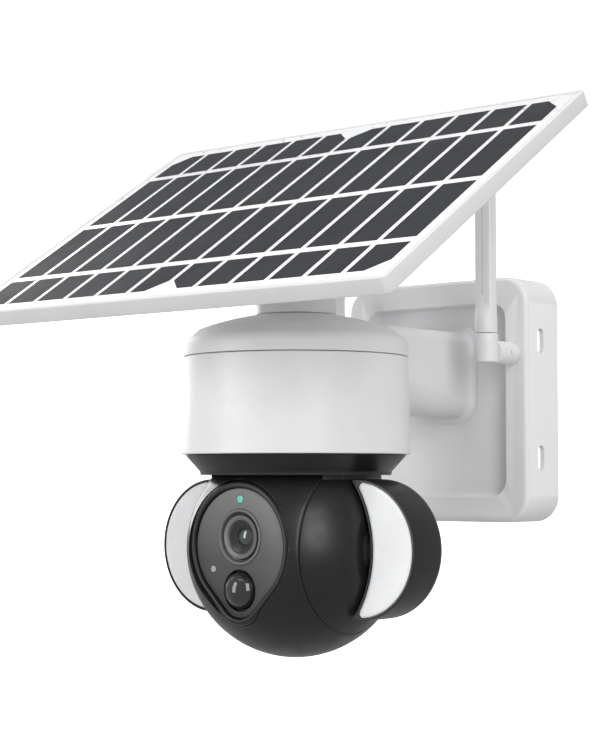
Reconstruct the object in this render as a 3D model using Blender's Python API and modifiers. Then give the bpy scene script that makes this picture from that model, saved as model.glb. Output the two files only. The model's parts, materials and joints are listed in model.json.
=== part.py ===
"""Solar-powered pan and tilt security camera, held on a wall by its back.

A square wall bracket carries a round housing on a short arm. A forked turret
turns under the housing and holds the ball-shaped camera head between its
cheeks. A solar panel is clamped to a turntable on top of the housing, and two
aerials swivel on the bracket. Metres, +Z up, +Y towards the wall; the origin
is the centre of the bracket's back, in the plane of the wall.
"""
import math

import bmesh
import bpy
from mathutils import Matrix, Vector

MM = 0.001

# ---------------------------------------------------------------- clearances
GAP = 0.3 * MM                 # between pieces that touch
EPS = 1.0 * MM                 # how far a cutter runs past a face

# ------------------------------------------------------------- wall bracket
BRACKET_WIDTH = 107.0 * MM
BRACKET_HEIGHT = 117.4 * MM
BRACKET_DEPTH = 28.2 * MM
BRACKET_CORNER = 13.0 * MM
BRACKET_EDGE = 2.5 * MM        # rounding of the front edge
BORDER = 12.5 * MM             # width of the raised border
RECESS_DEPTH = 7.0 * MM
RECESS_CORNER = 8.0 * MM
BRACKET_WALL = 2.4 * MM
SLOT_HEIGHT = 12.0 * MM        # strap slots in the bracket's sides
SLOT_WIDTH = 5.5 * MM
SLOT_RISE = 28.0 * MM          # slot centre above and below the middle
SLOT_SETBACK = 16.0 * MM       # slot centre from the wall
BOSS_RADIUS = 4.0 * MM
BOSSES = ((-1, 1), (1, -1))     # corners of the back plate that have one
PLATE_WIDTH = 66.0 * MM        # back plate inside the bracket's open back
PLATE_HEIGHT = 90.0 * MM
PLATE_THICK = 3.0 * MM
PLATE_SCREW_INSET = 7.0 * MM
KEYHOLE_RISE = 26.0 * MM
KEYHOLE_RADIUS = 4.0 * MM
KEYHOLE_SLOT = 2.2 * MM        # half width of a keyhole's slot
SCREW_RADIUS = 1.5 * MM
SCREW_HEAD_RADIUS = 2.8 * MM
SCREW_HEAD_THICK = 1.4 * MM
SCREW_LENGTH = 9.0 * MM

# -------------------------------------------------------------- support arm
ARM_HALF_WIDTH = 17.0 * MM
ARM_TOP = 33.5 * MM
ARM_BOTTOM = -7.5 * MM
ARM_ROOT_FLARE = 3.0 * MM
ARM_TOP_RADIUS = 6.0 * MM
ARM_ROOT_RADIUS = 8.0 * MM     # rounding under the arm at the bracket
ARM_TIP_RADIUS = 16.5 * MM     # rounding under the arm at the housing
ARM_BORE = 5.0 * MM            # cable way
ARM_SCREW_RISE = 11.0 * MM

# ------------------------------------------------------------------ housing
HOUSING_AXIS = -134.7 * MM     # Y of the pan axis
HOUSING_RADIUS = 50.0 * MM     # at the seam
HOUSING_TAPER = 1.0 * MM
HOUSING_FOOT_RADIUS = HOUSING_RADIUS + HOUSING_TAPER
HOUSING_BOTTOM = -27.1 * MM
HOUSING_SEAM = 16.0 * MM
HOUSING_WALL = 2.4 * MM
HOUSING_FLOOR = 2.6 * MM
CAP_SHOULDER = 5.0 * MM        # rounding between the cap's side and its dome
DOME_RADIUS = 124.0 * MM
DOME_TOP = 36.0 * MM
CAP_SEAT = 18.6 * MM           # flat seat for the turntable
CABLE_HOLE = 6.0 * MM
GASKET = 2.8 * MM

# ------------------------------------------------------------- solar panel
NECK_RADIUS = 17.8 * MM
NECK_TOP = 44.5 * MM
HINGE_RISE = 49.3 * MM         # Z of the panel's tilt axis
EAR_RADIUS = 7.5 * MM
EAR_HALF = 11.0 * MM           # half width over the turntable's ears
LUG_HALF = 5.7 * MM            # half width of the panel's lug
LUG_RADIUS = 6.0 * MM
BOLT_RADIUS = 2.0 * MM
BOLT_HEAD = 2.6 * MM
BOLT_END = 6.0 * MM            # bolt beyond the ear, inside the knob
KNOB_LENGTH = 7.2 * MM
KNOB_END = 1.2 * MM            # knob's closed end
PANEL_TILT = math.radians(33)  # front edge down
PANEL_RISE = 39.1 * MM         # cell surface above the tilt axis
PANEL_LENGTH = 239.0 * MM
PANEL_WIDTH = 172.0 * MM
PANEL_THICK = 7.6 * MM
PANEL_CORNER = 3.0 * MM
LIP_WIDTH = 2.0 * MM
LIP_HEIGHT = 0.6 * MM          # lip above the cell surface
LAMINATE_THICK = 3.0 * MM
BACK_THICK = 1.6 * MM
LEDGE = 3.0 * MM               # step in the frame that the laminate sits on
BRACE = 46.0 * MM              # side of the square plate under the panel
BRACE_THICK = 3.0 * MM
BRACE_CORNER = 5.0 * MM

# ------------------------------------------------------------------ aerials
AERIAL_OUT = 45.0 * MM         # X of each aerial
AERIAL_RISE = 21.6 * MM        # Z of the swivel axis
AERIAL_AXIS = -49.9 * MM       # Y of the whip
BARREL_RADIUS = 5.6 * MM
BARREL_BOTTOM = 16.4 * MM
BARREL_TOP = 29.7 * MM
SOCKET_RADIUS = 5.3 * MM
WHIP_RADIUS = 5.2 * MM
WHIP_SHOULDER = 37.6 * MM
BLADE_START = 44.8 * MM
AERIAL_TOP = 104.0 * MM
BLADE_WIDTH = 8.7 * MM
BLADE_THICK = 6.1 * MM

# -------------------------------------------------------------- camera head
HEAD_CENTRE = -68.0 * MM       # Z of the tilt axis
BALL_RADIUS = 48.3 * MM
BALL_WALL = 2.3 * MM
BALL_HALF = 31.6 * MM          # half width between the ball's flat sides
BALL_SPLIT = 12.0 * MM         # seam behind the tilt axis
SOCKET_HOLLOW = 51.0 * MM      # hollow of the turret over the ball
CONE_TOP_RADIUS = 49.0 * MM
CONE_BOTTOM_RADIUS = 42.3 * MM
CONE_HEIGHT = 8.4 * MM
TURRET_NECK = 35.0 * MM
TURRET_NECK_HEIGHT = 8.4 * MM
TURRET_TOP = -12.5 * MM
BEARING_RING = 3.4 * MM        # radial thickness of the pan bearing
RING_THICK = 1.5 * MM          # retaining ring
CHEEK_POCKET = 26.0 * MM
CHEEK_POCKET_DEPTH = 6.0 * MM
CHEEK_HUB = 13.0 * MM
STEM_RADIUS = 38.0 * MM
STEM_HALF = 24.0 * MM
HUB_RADIUS = 8.2 * MM          # boss of each lamp pod, on the tilt axis
BUSH_WALL = 2.1 * MM

# ---------------------------------------------------------------- face
FACE_OUT = 37.6 * MM           # face plate in front of the tilt axis
FACE_THICK = 2.0 * MM
RIM = 3.2 * MM                 # width of the bezel
RIM_PROUD = 1.4 * MM           # bezel in front of the face plate
RIM_LEDGE = 1.5 * MM           # bezel behind the face plate's edge
BEZEL_DEPTH = 5.0 * MM
LENS_RISE = 5.35 * MM
LENS_RADIUS = 12.05 * MM
LENS_DEPTH = 7.0 * MM
LENS_DISH = (9.3 * MM, 2.0 * MM)      # inner edge of the sloping ring: radius and depth
LENS_DISH_TOP = 10.4 * MM
LENS_GLASS = 6.9 * MM
LENS_GLASS_SET = 1.9 * MM      # glass behind the face plate's front
LENS_GLASS_THICK = 4.5 * MM
LENS_GLASS_EDGE = 1.6 * MM     # fall of the curved front at the glass' edge
PIR_RADIUS = 8.8 * MM
PIR_WEB = 1.9 * MM             # face plate between the lens and the dome
PIR_RISE = LENS_RISE - LENS_RADIUS - PIR_RADIUS - PIR_WEB
PIR_STEP = 1.3 * MM            # flange round the dome
PIR_WALL = 1.2 * MM
PIR_FLANGE = 2.0 * MM
PIR_SET = 2.4 * MM             # flange behind the face plate
LED_RADIUS = 1.8 * MM
LED_WEB = 2.3 * MM             # face plate between the lens and the light
LED_RISE = LENS_RISE + LENS_RADIUS + LED_RADIUS + LED_WEB
FACE_CENTRE = 1.5 * MM         # rise of the upper circle's middle
FACE_TOP_MARGIN = 2.9 * MM     # face plate above the light
FACE_FOOT_DROP = 1.1 * MM      # middle of the lower circle under the dome's
FACE_FOOT_MARGIN = 1.8 * MM    # face plate round the dome
FACE_LARGE = (FACE_CENTRE, LED_RISE + LED_RADIUS + FACE_TOP_MARGIN - FACE_CENTRE)
FACE_SMALL = (PIR_RISE - FACE_FOOT_DROP, PIR_RADIUS + FACE_FOOT_MARGIN)
SENSOR_PLACE = (-15.2 * MM, -8.7 * MM)
SENSOR_RADIUS = 1.5 * MM

# ---------------------------------------------------------------- lamp pods
POD_OUT = 40.7 * MM            # X of the pod's arc centre
POD_RADIUS = 30.0 * MM
POD_FRONT = -9.8 * MM          # from the tilt axis
POD_BACK = 13.5 * MM
POD_ROUND = 5.0 * MM           # rounding of the back edge
POD_INNER = 50.0 * MM          # sphere that clears the cheek
DIFFUSER_INSET = 1.4 * MM
DIFFUSER_INNER = 51.8 * MM
DIFFUSER_THICK = 2.6 * MM
LED_BOARD_THICK = 1.2 * MM
LED_BOARD_SETBACK = 1.5 * MM   # lamp board behind the diffuser
POD_WALL = 2.5 * MM

# ------------------------------------------------------------------- drives
PAN_MODULE = 1.5 * MM
PAN_TEETH = 36
GEAR_RIM = 5.0 * MM            # from the pan gear's pitch circle to the neck
GEAR_SEAT = PAN_TEETH * PAN_MODULE / 2 - GEAR_RIM
PAN_PINION_TEETH = 10
TILT_MODULE = 1.0 * MM
TILT_TEETH = 30
TILT_PINION_TEETH = 12
GEAR_THICK = 4.0 * MM
MOTOR_RADIUS = 11.5 * MM
MOTOR_OFFSET = 5.5 * MM        # shaft from the middle of the motor
MOTOR_HEIGHT = 15.0 * MM
MOTOR_SHAFT = 1.5 * MM
TILT_MOTOR_OFFSET = 2.2 * MM
TILT_SHAFT_LENGTH = 9.0 * MM
SLEEVE_LENGTH = 3.0 * MM       # tilt gear's sleeve inside the left cheek

# ------------------------------------------------- button, port and battery
BUTTON_RADIUS = 4.0 * MM
BUTTON_RISE = -12.0 * MM
BUTTON_PROUD = 1.6 * MM
BUTTON_FLANGE = 1.5 * MM       # flange beyond the button
BUTTON_FLANGE_THICK = 1.2 * MM
PORT_RISE = 4.0 * MM
PORT_SIZE = (12.0 * MM, 7.0 * MM)
PORT_PROUD = 0.8 * MM
PORT_PLUG = 1.6 * MM           # port cover beyond the inside of the wall
CELL_RADIUS = 9.1 * MM
CELL_LENGTH = 65.0 * MM
CELL_COUNT = 2
TRAY_WALL = 2.0 * MM
TRAY_FLOOR = 1.5 * MM
TRAY_HEIGHT = 6.0 * MM
BOARD_THICK = 1.6 * MM
BOARD_WIDTH = 60.0 * MM        # main board
BOARD_BACK = 5.5 * MM          # its back edge behind the pan axis
BOARD_CLEAR = 1.1 * MM         # its front corners inside the housing wall
BOARD_LIFT = 3.75 * MM         # above the motor's foot
CAMERA_BOARD = (36.0 * MM, 42.0 * MM)
LENS_BARREL_RADIUS = 8.5 * MM
LENS_BARREL_LENGTH = 11.0 * MM
PIR_SENSOR_RADIUS = 4.0 * MM
PIR_SENSOR_LENGTH = 4.0 * MM
LIGHT_PIPE = 2.0 * MM          # light pipes behind the face plate


SIDES = (("left", -1), ("right", 1))


def side_turn(side):
    return "right" if side > 0 else "left"


def clear_scene():
    for old in list(bpy.data.objects):
        bpy.data.objects.remove(old, do_unlink=True)


def collection(name):
    made = bpy.data.collections.new(name)
    bpy.context.scene.collection.children.link(made)
    return made


def material(name, colour, roughness, metallic=0.0):
    made = bpy.data.materials.new(name)
    made.use_nodes = True
    shader = made.node_tree.nodes["Principled BSDF"]
    shader.inputs["Base Color"].default_value = (*colour, 1.0)
    shader.inputs["Roughness"].default_value = roughness
    shader.inputs["Metallic"].default_value = metallic
    return made


clear_scene()
PARTS = collection("solar_security_camera")
CUTTERS = collection("cutters")

WHITE = material("white_plastic", (0.80, 0.80, 0.81), 0.45)
BLACK = material("black_plastic", (0.028, 0.028, 0.030), 0.42)
GREY = material("grey_plastic", (0.16, 0.16, 0.17), 0.35)
STEEL = material("steel", (0.55, 0.55, 0.56), 0.35, 1.0)
RUBBER = material("rubber", (0.03, 0.03, 0.03), 0.8)
DIFFUSER = material("lamp_diffuser", (0.86, 0.87, 0.88), 0.35)
CELLS = material("solar_laminate", (0.055, 0.060, 0.068), 0.25)
GLOSS = material("face_plate", (0.09, 0.09, 0.095), 0.2)
GLASS = material("lens_glass", (0.02, 0.03, 0.025), 0.05)
TEAL = material("status_light", (0.13, 0.50, 0.39), 0.3)
BOARD = material("circuit_board", (0.02, 0.16, 0.07), 0.5)
CELL_WRAP = material("battery_wrap", (0.05, 0.22, 0.42), 0.4)
NYLON = material("nylon", (0.75, 0.73, 0.66), 0.5)

# How a piece's own +Z is turned: up, to the front (-Y) or the wall (+Y), right or left.
TURNS = {
    "up": (0.0, 0.0, 0.0),
    "front": (math.pi / 2, 0.0, 0.0),
    "back": (-math.pi / 2, 0.0, 0.0),
    "right": (0.0, math.pi / 2, 0.0),
    "left": (0.0, -math.pi / 2, 0.0),
}
HOUSING_PLACE = Vector((0.0, HOUSING_AXIS, 0.0))
HEAD_PLACE = Vector((0.0, HOUSING_AXIS, HEAD_CENTRE))


def empty(name, place, parent=None, rotation=(0.0, 0.0, 0.0)):
    made = bpy.data.objects.new(name, None)
    made.location = place
    made.rotation_euler = rotation
    made.parent = parent
    PARTS.objects.link(made)
    return made


def put(name, mesh, finish, place=(0.0, 0.0, 0.0), turn="up", parent=None):
    """Link a mesh as a sub-part, or as a cutter where it has no finish."""
    made = bpy.data.objects.new(name, mesh)
    made.location = place
    made.rotation_euler = TURNS[turn]
    made.parent = parent
    if finish is None:
        CUTTERS.objects.link(made)
        made.hide_render = True
        made.display_type = "WIRE"
    else:
        mesh.materials.clear()
        mesh.materials.append(finish)
        PARTS.objects.link(made)
    return made


def mesh_from(build):
    """A mesh filled by build(bm), shaded smooth with sharp creases kept."""
    bm = bmesh.new()
    build(bm)
    bmesh.ops.recalc_face_normals(bm, faces=bm.faces)
    mesh = bpy.data.meshes.new("piece")
    bm.to_mesh(mesh)
    bm.free()
    mesh.shade_smooth()
    mesh.set_sharp_from_angle(angle=math.radians(35))
    return mesh


def cylinder(name, radius, height, finish, place, turn="up", parent=None, steps=24):
    """A round bar whose foot stands at place."""
    def build(bm):
        bmesh.ops.create_cone(bm, cap_ends=True, segments=steps, radius1=radius,
                              radius2=radius, depth=height,
                              matrix=Matrix.Translation((0, 0, height / 2)))
    return put(name, mesh_from(build), finish, place, turn, parent)


def block(name, size, finish, place, parent=None, edge=0.0, turn="up"):
    """A box about its middle, its edges rounded by edge."""
    def build(bm):
        bmesh.ops.create_cube(bm, size=1.0, matrix=Matrix.Diagonal((*size, 1.0)))
        if edge:
            bmesh.ops.bevel(bm, geom=bm.edges[:], offset=edge, segments=2,
                            affect="EDGES", profile=0.5)
    return put(name, mesh_from(build), finish, place, turn, parent)


def turned(name, profile, finish, place, turn="up", parent=None, steps=48):
    """Turn a profile of (radius, height), which runs down its outer side.

    A profile that stays off the axis is a closed loop, and makes a ring.
    """
    ring = profile[0][0] > 0 and profile[-1][0] > 0
    count = len(profile)
    edges = [(i, i + 1) for i in range(count - 1)]
    if ring:
        edges.append((count - 1, 0))
    mesh = bpy.data.meshes.new("profile")
    mesh.from_pydata([(radius, 0.0, height) for radius, height in profile], edges, [])
    made = put(name, mesh, finish, place, turn, parent)
    screw = made.modifiers.new("Turn", "SCREW")
    screw.steps = screw.render_steps = steps
    screw.use_merge_vertices = not ring
    screw.merge_threshold = 0.00001
    screw.use_smooth_shade = True
    close = made.modifiers.new("Close", "WELD")
    close.merge_threshold = 0.00001
    return made


def ring(name, inner, outer, low, high, finish, place, turn="up", parent=None, steps=48):
    profile = [(outer, high), (outer, low), (inner, low), (inner, high)]
    return turned(name, profile, finish, place, turn, parent, steps)


def arc(centre, radius, start, end, steps):
    """Points on an arc, angles in degrees."""
    points = []
    for i in range(steps + 1):
        angle = math.radians(start + (end - start) * i / steps)
        points.append((centre[0] + radius * math.cos(angle),
                       centre[1] + radius * math.sin(angle)))
    return points


def plate(name, outline, thick, finish, place, turn="up", parent=None, holes=()):
    """A flat piece: a filled 2D curve with a thickness, its foot at place."""
    curve = bpy.data.curves.new(name, "CURVE")
    curve.dimensions = "2D"
    curve.fill_mode = "BOTH"
    curve.extrude = thick / 2
    for points in (outline, *holes):
        spline = curve.splines.new("POLY")
        spline.points.add(len(points) - 1)
        for point, (x, y) in zip(spline.points, points):
            point.co = (x, y, 0.0, 1.0)
        spline.use_cyclic_u = True
    guide = bpy.data.objects.new("outline", curve)
    CUTTERS.objects.link(guide)
    bpy.context.view_layer.update()
    evaluated = guide.evaluated_get(bpy.context.evaluated_depsgraph_get())
    flat = bpy.data.meshes.new_from_object(evaluated)
    bpy.data.objects.remove(guide)

    def build(bm):
        bm.from_mesh(flat)
        bmesh.ops.remove_doubles(bm, verts=bm.verts, dist=0.000005)
        bmesh.ops.translate(bm, verts=bm.verts, vec=(0, 0, thick / 2))
    return put(name, mesh_from(build), finish, place, turn, parent)


def rounded(width, height, corner, steps=6):
    """Outline of a rectangle with round corners, about its middle."""
    points = []
    x, y = width / 2 - corner, height / 2 - corner
    for i, (cx, cy) in enumerate(((x, y), (-x, y), (-x, -y), (x, -y))):
        points += arc((cx, cy), corner, 90 * i, 90 * i + 90, steps)
    return points


def combine(target, tool, operation):
    step = target.modifiers.new(operation.title(), "BOOLEAN")
    step.operation = operation
    step.object = tool
    step.solver = "EXACT"
    return target


def cut(target, tool):
    return combine(target, tool, "DIFFERENCE")


def join(target, tool):
    return combine(target, tool, "UNION")


def keep(target, tool):
    return combine(target, tool, "INTERSECT")


def gear(name, teeth, module, bore, thick, finish, place, turn="up", parent=None, phase=0.0):
    """A spur gear: trapezoid teeth, a little narrow so that a pair runs free."""
    pitch = teeth * module / 2
    tip, root = pitch + 0.75 * module, pitch - 1.1 * module
    step = 2 * math.pi / teeth
    outline = []
    for i in range(teeth):
        middle = phase + i * step
        for radius, share in ((root, -0.31), (tip, -0.12), (tip, 0.12), (root, 0.31)):
            angle = middle + share * step
            outline.append((radius * math.cos(angle), radius * math.sin(angle)))
    sides = 18
    flats = bore / math.cos(math.pi / sides)
    holes = [arc((0, 0), flats, 0, 360 - 360 / sides, sides - 1)] if bore else []
    return plate(name, outline, thick, finish, place, turn, parent, holes)


# ------------------------------------------------------------ wall bracket
def bracket_block(name, width, height, depth, corner, edge, finish, back):
    """A rounded block standing out from the wall, its back at Y = back."""
    def build(bm):
        bmesh.ops.create_cube(bm, size=1.0, matrix=Matrix.Diagonal((width, depth, height, 1.0)))
        bmesh.ops.translate(bm, verts=bm.verts, vec=(0, back - depth / 2, 0))
        uprights = [e for e in bm.edges
                    if abs(e.verts[0].co.y - e.verts[1].co.y) > depth / 2]
        bmesh.ops.bevel(bm, geom=uprights, offset=corner, segments=6,
                        affect="EDGES", profile=0.5)
        if edge:
            front = [e for e in bm.edges
                     if all(v.co.y < back - depth + EPS / 2 for v in e.verts)]
            bmesh.ops.bevel(bm, geom=front, offset=edge, segments=2,
                            affect="EDGES", profile=0.5)
    return put(name, mesh_from(build), finish)


def make_bracket():
    shell = bracket_block("bracket_shell", BRACKET_WIDTH, BRACKET_HEIGHT, BRACKET_DEPTH,
                          BRACKET_CORNER, BRACKET_EDGE, WHITE, 0.0)
    border_front = -BRACKET_DEPTH
    floor_front = border_front + RECESS_DEPTH
    floor_back = floor_front + BRACKET_WALL
    recess_width = BRACKET_WIDTH - 2 * BORDER
    recess_height = BRACKET_HEIGHT - 2 * BORDER
    cut(shell, bracket_block("recess_cut", recess_width, recess_height,
                             RECESS_DEPTH + EPS, RECESS_CORNER, 0.0, None, floor_front))
    # The hollow behind the recess floor, open at the back.
    cut(shell, bracket_block("hollow_cut", BRACKET_WIDTH - 2 * BRACKET_WALL,
                             BRACKET_HEIGHT - 2 * BRACKET_WALL, -floor_back + EPS,
                             BRACKET_CORNER - BRACKET_WALL, 0.0, None, EPS))
    # Strap slots through both sides.
    for side, rise in ((s, r) for s in (-1, 1) for r in (-1, 1)):
        place = (side * (BRACKET_WIDTH / 2 - BRACKET_WALL - EPS), -SLOT_SETBACK, rise * SLOT_RISE)
        slot = plate("slot_cut", rounded(SLOT_HEIGHT, SLOT_WIDTH, SLOT_WIDTH / 2 - 0.01 * MM, 4),
                     BRACKET_WALL + 2 * EPS, None, place, side_turn(side))
        cut(shell, slot)
    # Bosses from the recess floor to the back plate.
    plate_front = -PLATE_THICK
    boss_length = plate_front - GAP - floor_back + EPS
    inset = PLATE_SCREW_INSET
    corners = [(sx * (PLATE_WIDTH / 2 - inset), sz * (PLATE_HEIGHT / 2 - inset))
               for sx, sz in BOSSES]
    for x, z in corners:
        boss = cylinder("boss", BOSS_RADIUS, boss_length, None,
                        (x, plate_front - GAP, z), "front", steps=16)
        join(shell, boss)
        cut(shell, cylinder("boss_bore_cut", SCREW_RADIUS + GAP, SCREW_LENGTH + EPS, None,
                            (x, plate_front, z), "front", steps=16))
    # Cable way and screws into the arm.
    cut(shell, cylinder("cable_way_cut", ARM_BORE, BRACKET_WALL + 2 * EPS, None,
                        (0, floor_back + EPS, ARM_MIDDLE), "front", steps=16))
    for rise in (-1, 1):
        z = ARM_MIDDLE + rise * ARM_SCREW_RISE
        cut(shell, cylinder("arm_screw_cut", SCREW_RADIUS + GAP, BRACKET_WALL + 2 * EPS, None,
                            (0, floor_back + EPS, z), "front", steps=16))
        name = "arm_screw_upper" if rise > 0 else "arm_screw_lower"
        back_screw(name, (0, floor_back + GAP, z))

    back = plate("wall_plate", rounded(PLATE_WIDTH, PLATE_HEIGHT, BOSS_RADIUS, 3), PLATE_THICK,
                 STEEL, (0, 0, 0), "front")
    for x, z in corners:
        cut(back, cylinder("plate_screw_cut", SCREW_RADIUS + GAP, PLATE_THICK + 2 * EPS, None,
                           (x, EPS, z), "front", steps=16))
        cut(back, cylinder("plate_head_cut", SCREW_HEAD_RADIUS + GAP,
                           SCREW_HEAD_THICK + 2 * GAP + EPS, None, (x, EPS, z), "front",
                           steps=16))
        name = "plate_screw_upper" if z > 0 else "plate_screw_lower"
        back_screw(name, (x, -SCREW_HEAD_THICK - GAP, z))
    for rise in (-1, 1):
        cut(back, keyhole_cutter(rise * KEYHOLE_RISE))


def back_screw(name, place):
    """A pan-head screw driven from behind: its head stands at place, towards the wall."""
    head, thick = SCREW_HEAD_RADIUS, SCREW_HEAD_THICK
    profile = [(0.0, thick), (head * 0.7, thick), (head, thick * 0.4), (head, 0.0),
               (SCREW_RADIUS, 0.0), (SCREW_RADIUS, -SCREW_LENGTH), (0.0, -SCREW_LENGTH)]
    return turned(name, profile, STEEL, place, "back", steps=12)


def keyhole_cutter(rise):
    """A round entry with a narrower slot above it."""
    entry = math.degrees(math.asin(KEYHOLE_SLOT / KEYHOLE_RADIUS))
    outline = arc((0, 0), KEYHOLE_RADIUS, 90 + entry, 450 - entry, 12)
    outline += arc((0, 2.2 * KEYHOLE_RADIUS), KEYHOLE_SLOT, 0, 180, 6)
    made = plate("keyhole_cut", outline, PLATE_THICK + 2 * EPS, None, (0, EPS, rise), "front")
    return made


# ------------------------------------------------------------- support arm
ARM_MIDDLE = (ARM_TOP + ARM_BOTTOM) / 2


def arm_section(half_width, top_radius, low_radius, grow):
    """Section of the arm in X and Z, with two corner radii."""
    steps = 6
    top, bottom, half = ARM_TOP + grow, ARM_BOTTOM - grow, half_width + grow
    points = arc((half - top_radius, top - top_radius), top_radius, 0, 90, steps)
    points += arc((-half + top_radius, top - top_radius), top_radius, 90, 180, steps)
    points += arc((-half + low_radius, bottom + low_radius), low_radius, 180, 270, steps)
    points += arc((half - low_radius, bottom + low_radius), low_radius, 270, 360, steps)
    return points


def make_arm():
    """Loft from the recess floor, where the arm flares, to the round housing."""
    root = -BRACKET_DEPTH + RECESS_DEPTH - GAP
    tip = HOUSING_AXIS + HOUSING_RADIUS * 0.7
    stations = [(root, ARM_ROOT_RADIUS + ARM_ROOT_FLARE, ARM_ROOT_FLARE),
                (root - ARM_ROOT_FLARE * 0.35, ARM_ROOT_RADIUS + 1.0 * MM, ARM_ROOT_FLARE * 0.35),
                (root - ARM_ROOT_FLARE, ARM_ROOT_RADIUS, 0.0),
                (root - (root - tip) * 0.45, (ARM_ROOT_RADIUS + ARM_TIP_RADIUS) / 2, 0.0),
                (tip, ARM_TIP_RADIUS, 0.0)]

    def build(bm):
        loops = []
        for y, low_radius, grow in stations:
            section = arm_section(ARM_HALF_WIDTH, ARM_TOP_RADIUS, low_radius, grow)
            loops.append([bm.verts.new((x, y, z)) for x, z in section])
        for near, far in zip(loops, loops[1:]):
            for i in range(len(near)):
                j = (i + 1) % len(near)
                bm.faces.new((near[i], near[j], far[j], far[i]))
        bm.faces.new(loops[0])
        bm.faces.new(loops[-1])

    arm = put("support_arm", mesh_from(build), WHITE)
    reach = 3 * ARM_TOP
    clear = cylinder("housing_clear_cut", HOUSING_FOOT_RADIUS + GAP, 2 * reach, None,
                     (0, HOUSING_AXIS, -reach), steps=96)
    cut(arm, clear)
    bore_length = -BRACKET_DEPTH - HOUSING_AXIS
    cut(arm, cylinder("arm_bore_cut", ARM_BORE, bore_length, None,
                      (0, root + EPS, ARM_MIDDLE), "front", steps=16))
    for rise in (-1, 1):
        cut(arm, cylinder("arm_pilot_cut", SCREW_RADIUS + GAP, SCREW_LENGTH, None,
                          (0, root + EPS, ARM_MIDDLE + rise * ARM_SCREW_RISE), "front",
                          steps=16))
    return arm


# ----------------------------------------------------------------- housing
def dome_height(radius):
    return DOME_TOP - (DOME_RADIUS - math.sqrt(DOME_RADIUS ** 2 - radius ** 2))


BEARING_OUTER = TURRET_NECK + GAP + BEARING_RING
HOUSING_FLOOR_TOP = HOUSING_BOTTOM + HOUSING_FLOOR
INNER_RADIUS = HOUSING_RADIUS - HOUSING_WALL
CAP_FLAT = dome_height(CAP_SEAT)
GEAR_FOOT = TURRET_TOP - GEAR_THICK - GAP
PAN_PINION_OUT = (PAN_TEETH + PAN_PINION_TEETH) / 2 * PAN_MODULE
MOTOR_FOOT = GEAR_FOOT + GEAR_THICK + 2 * GAP


def make_housing():
    wall = HOUSING_WALL
    foot = HOUSING_FOOT_RADIUS
    profile = [(HOUSING_RADIUS, HOUSING_SEAM - GAP / 2), (foot, HOUSING_BOTTOM + 0.8 * MM),
               (foot - 0.8 * MM, HOUSING_BOTTOM), (BEARING_OUTER + GAP, HOUSING_BOTTOM),
               (BEARING_OUTER + GAP, HOUSING_FLOOR_TOP), (foot - wall, HOUSING_FLOOR_TOP),
               (INNER_RADIUS, HOUSING_SEAM - GAP / 2)]
    shell = turned("pan_housing", profile, WHITE, HOUSING_PLACE, steps=36)
    cut(shell, cylinder("housing_cable_cut", ARM_BORE, 3 * HOUSING_WALL + EPS, None,
                        (0, HOUSING_AXIS + foot + EPS, ARM_MIDDLE - ARM_BORE), "front", steps=16))
    cut(shell, cylinder("button_cut", BUTTON_RADIUS + GAP, foot, None,
                        (-foot - EPS, HOUSING_AXIS, BUTTON_RISE), "right", steps=20))
    port_y, port_z = PORT_SIZE
    cut(shell, block("port_cut", (2 * (foot - INNER_RADIUS) + 4 * EPS, port_y + 2 * GAP,
                                  port_z + 2 * GAP), None, (-INNER_RADIUS, HOUSING_AXIS, PORT_RISE)))

    shoulder = (HOUSING_RADIUS - CAP_SHOULDER, dome_height(HOUSING_RADIUS) - CAP_SHOULDER)
    outer = [(radius, dome_height(radius)) for radius in (CAP_SEAT, 28 * MM, 38 * MM)]
    outer += arc(shoulder, CAP_SHOULDER, 75, 0, 3)
    outer += [(HOUSING_RADIUS, HOUSING_SEAM + GAP / 2)]
    inner = [(INNER_RADIUS, HOUSING_SEAM + GAP / 2)]
    inner += arc(shoulder, CAP_SHOULDER - wall, 0, 75, 2)
    inner += [(radius, dome_height(radius) - wall) for radius in (CAP_SEAT,)]
    profile = [(CABLE_HOLE, CAP_FLAT)] + outer + inner + [(CABLE_HOLE, CAP_FLAT - wall)]
    turned("top_cap", profile, WHITE, HOUSING_PLACE, steps=36)
    gasket_outer = INNER_RADIUS - GAP
    ring("cap_gasket", gasket_outer - GASKET, gasket_outer, HOUSING_SEAM - GASKET / 2,
         HOUSING_SEAM + GASKET / 2, RUBBER, HOUSING_PLACE, steps=36)
    ring("pan_bearing", TURRET_NECK + GAP, BEARING_OUTER, HOUSING_BOTTOM,
         HOUSING_BOTTOM + TURRET_NECK_HEIGHT - GAP, NYLON, HOUSING_PLACE, steps=32)


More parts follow.
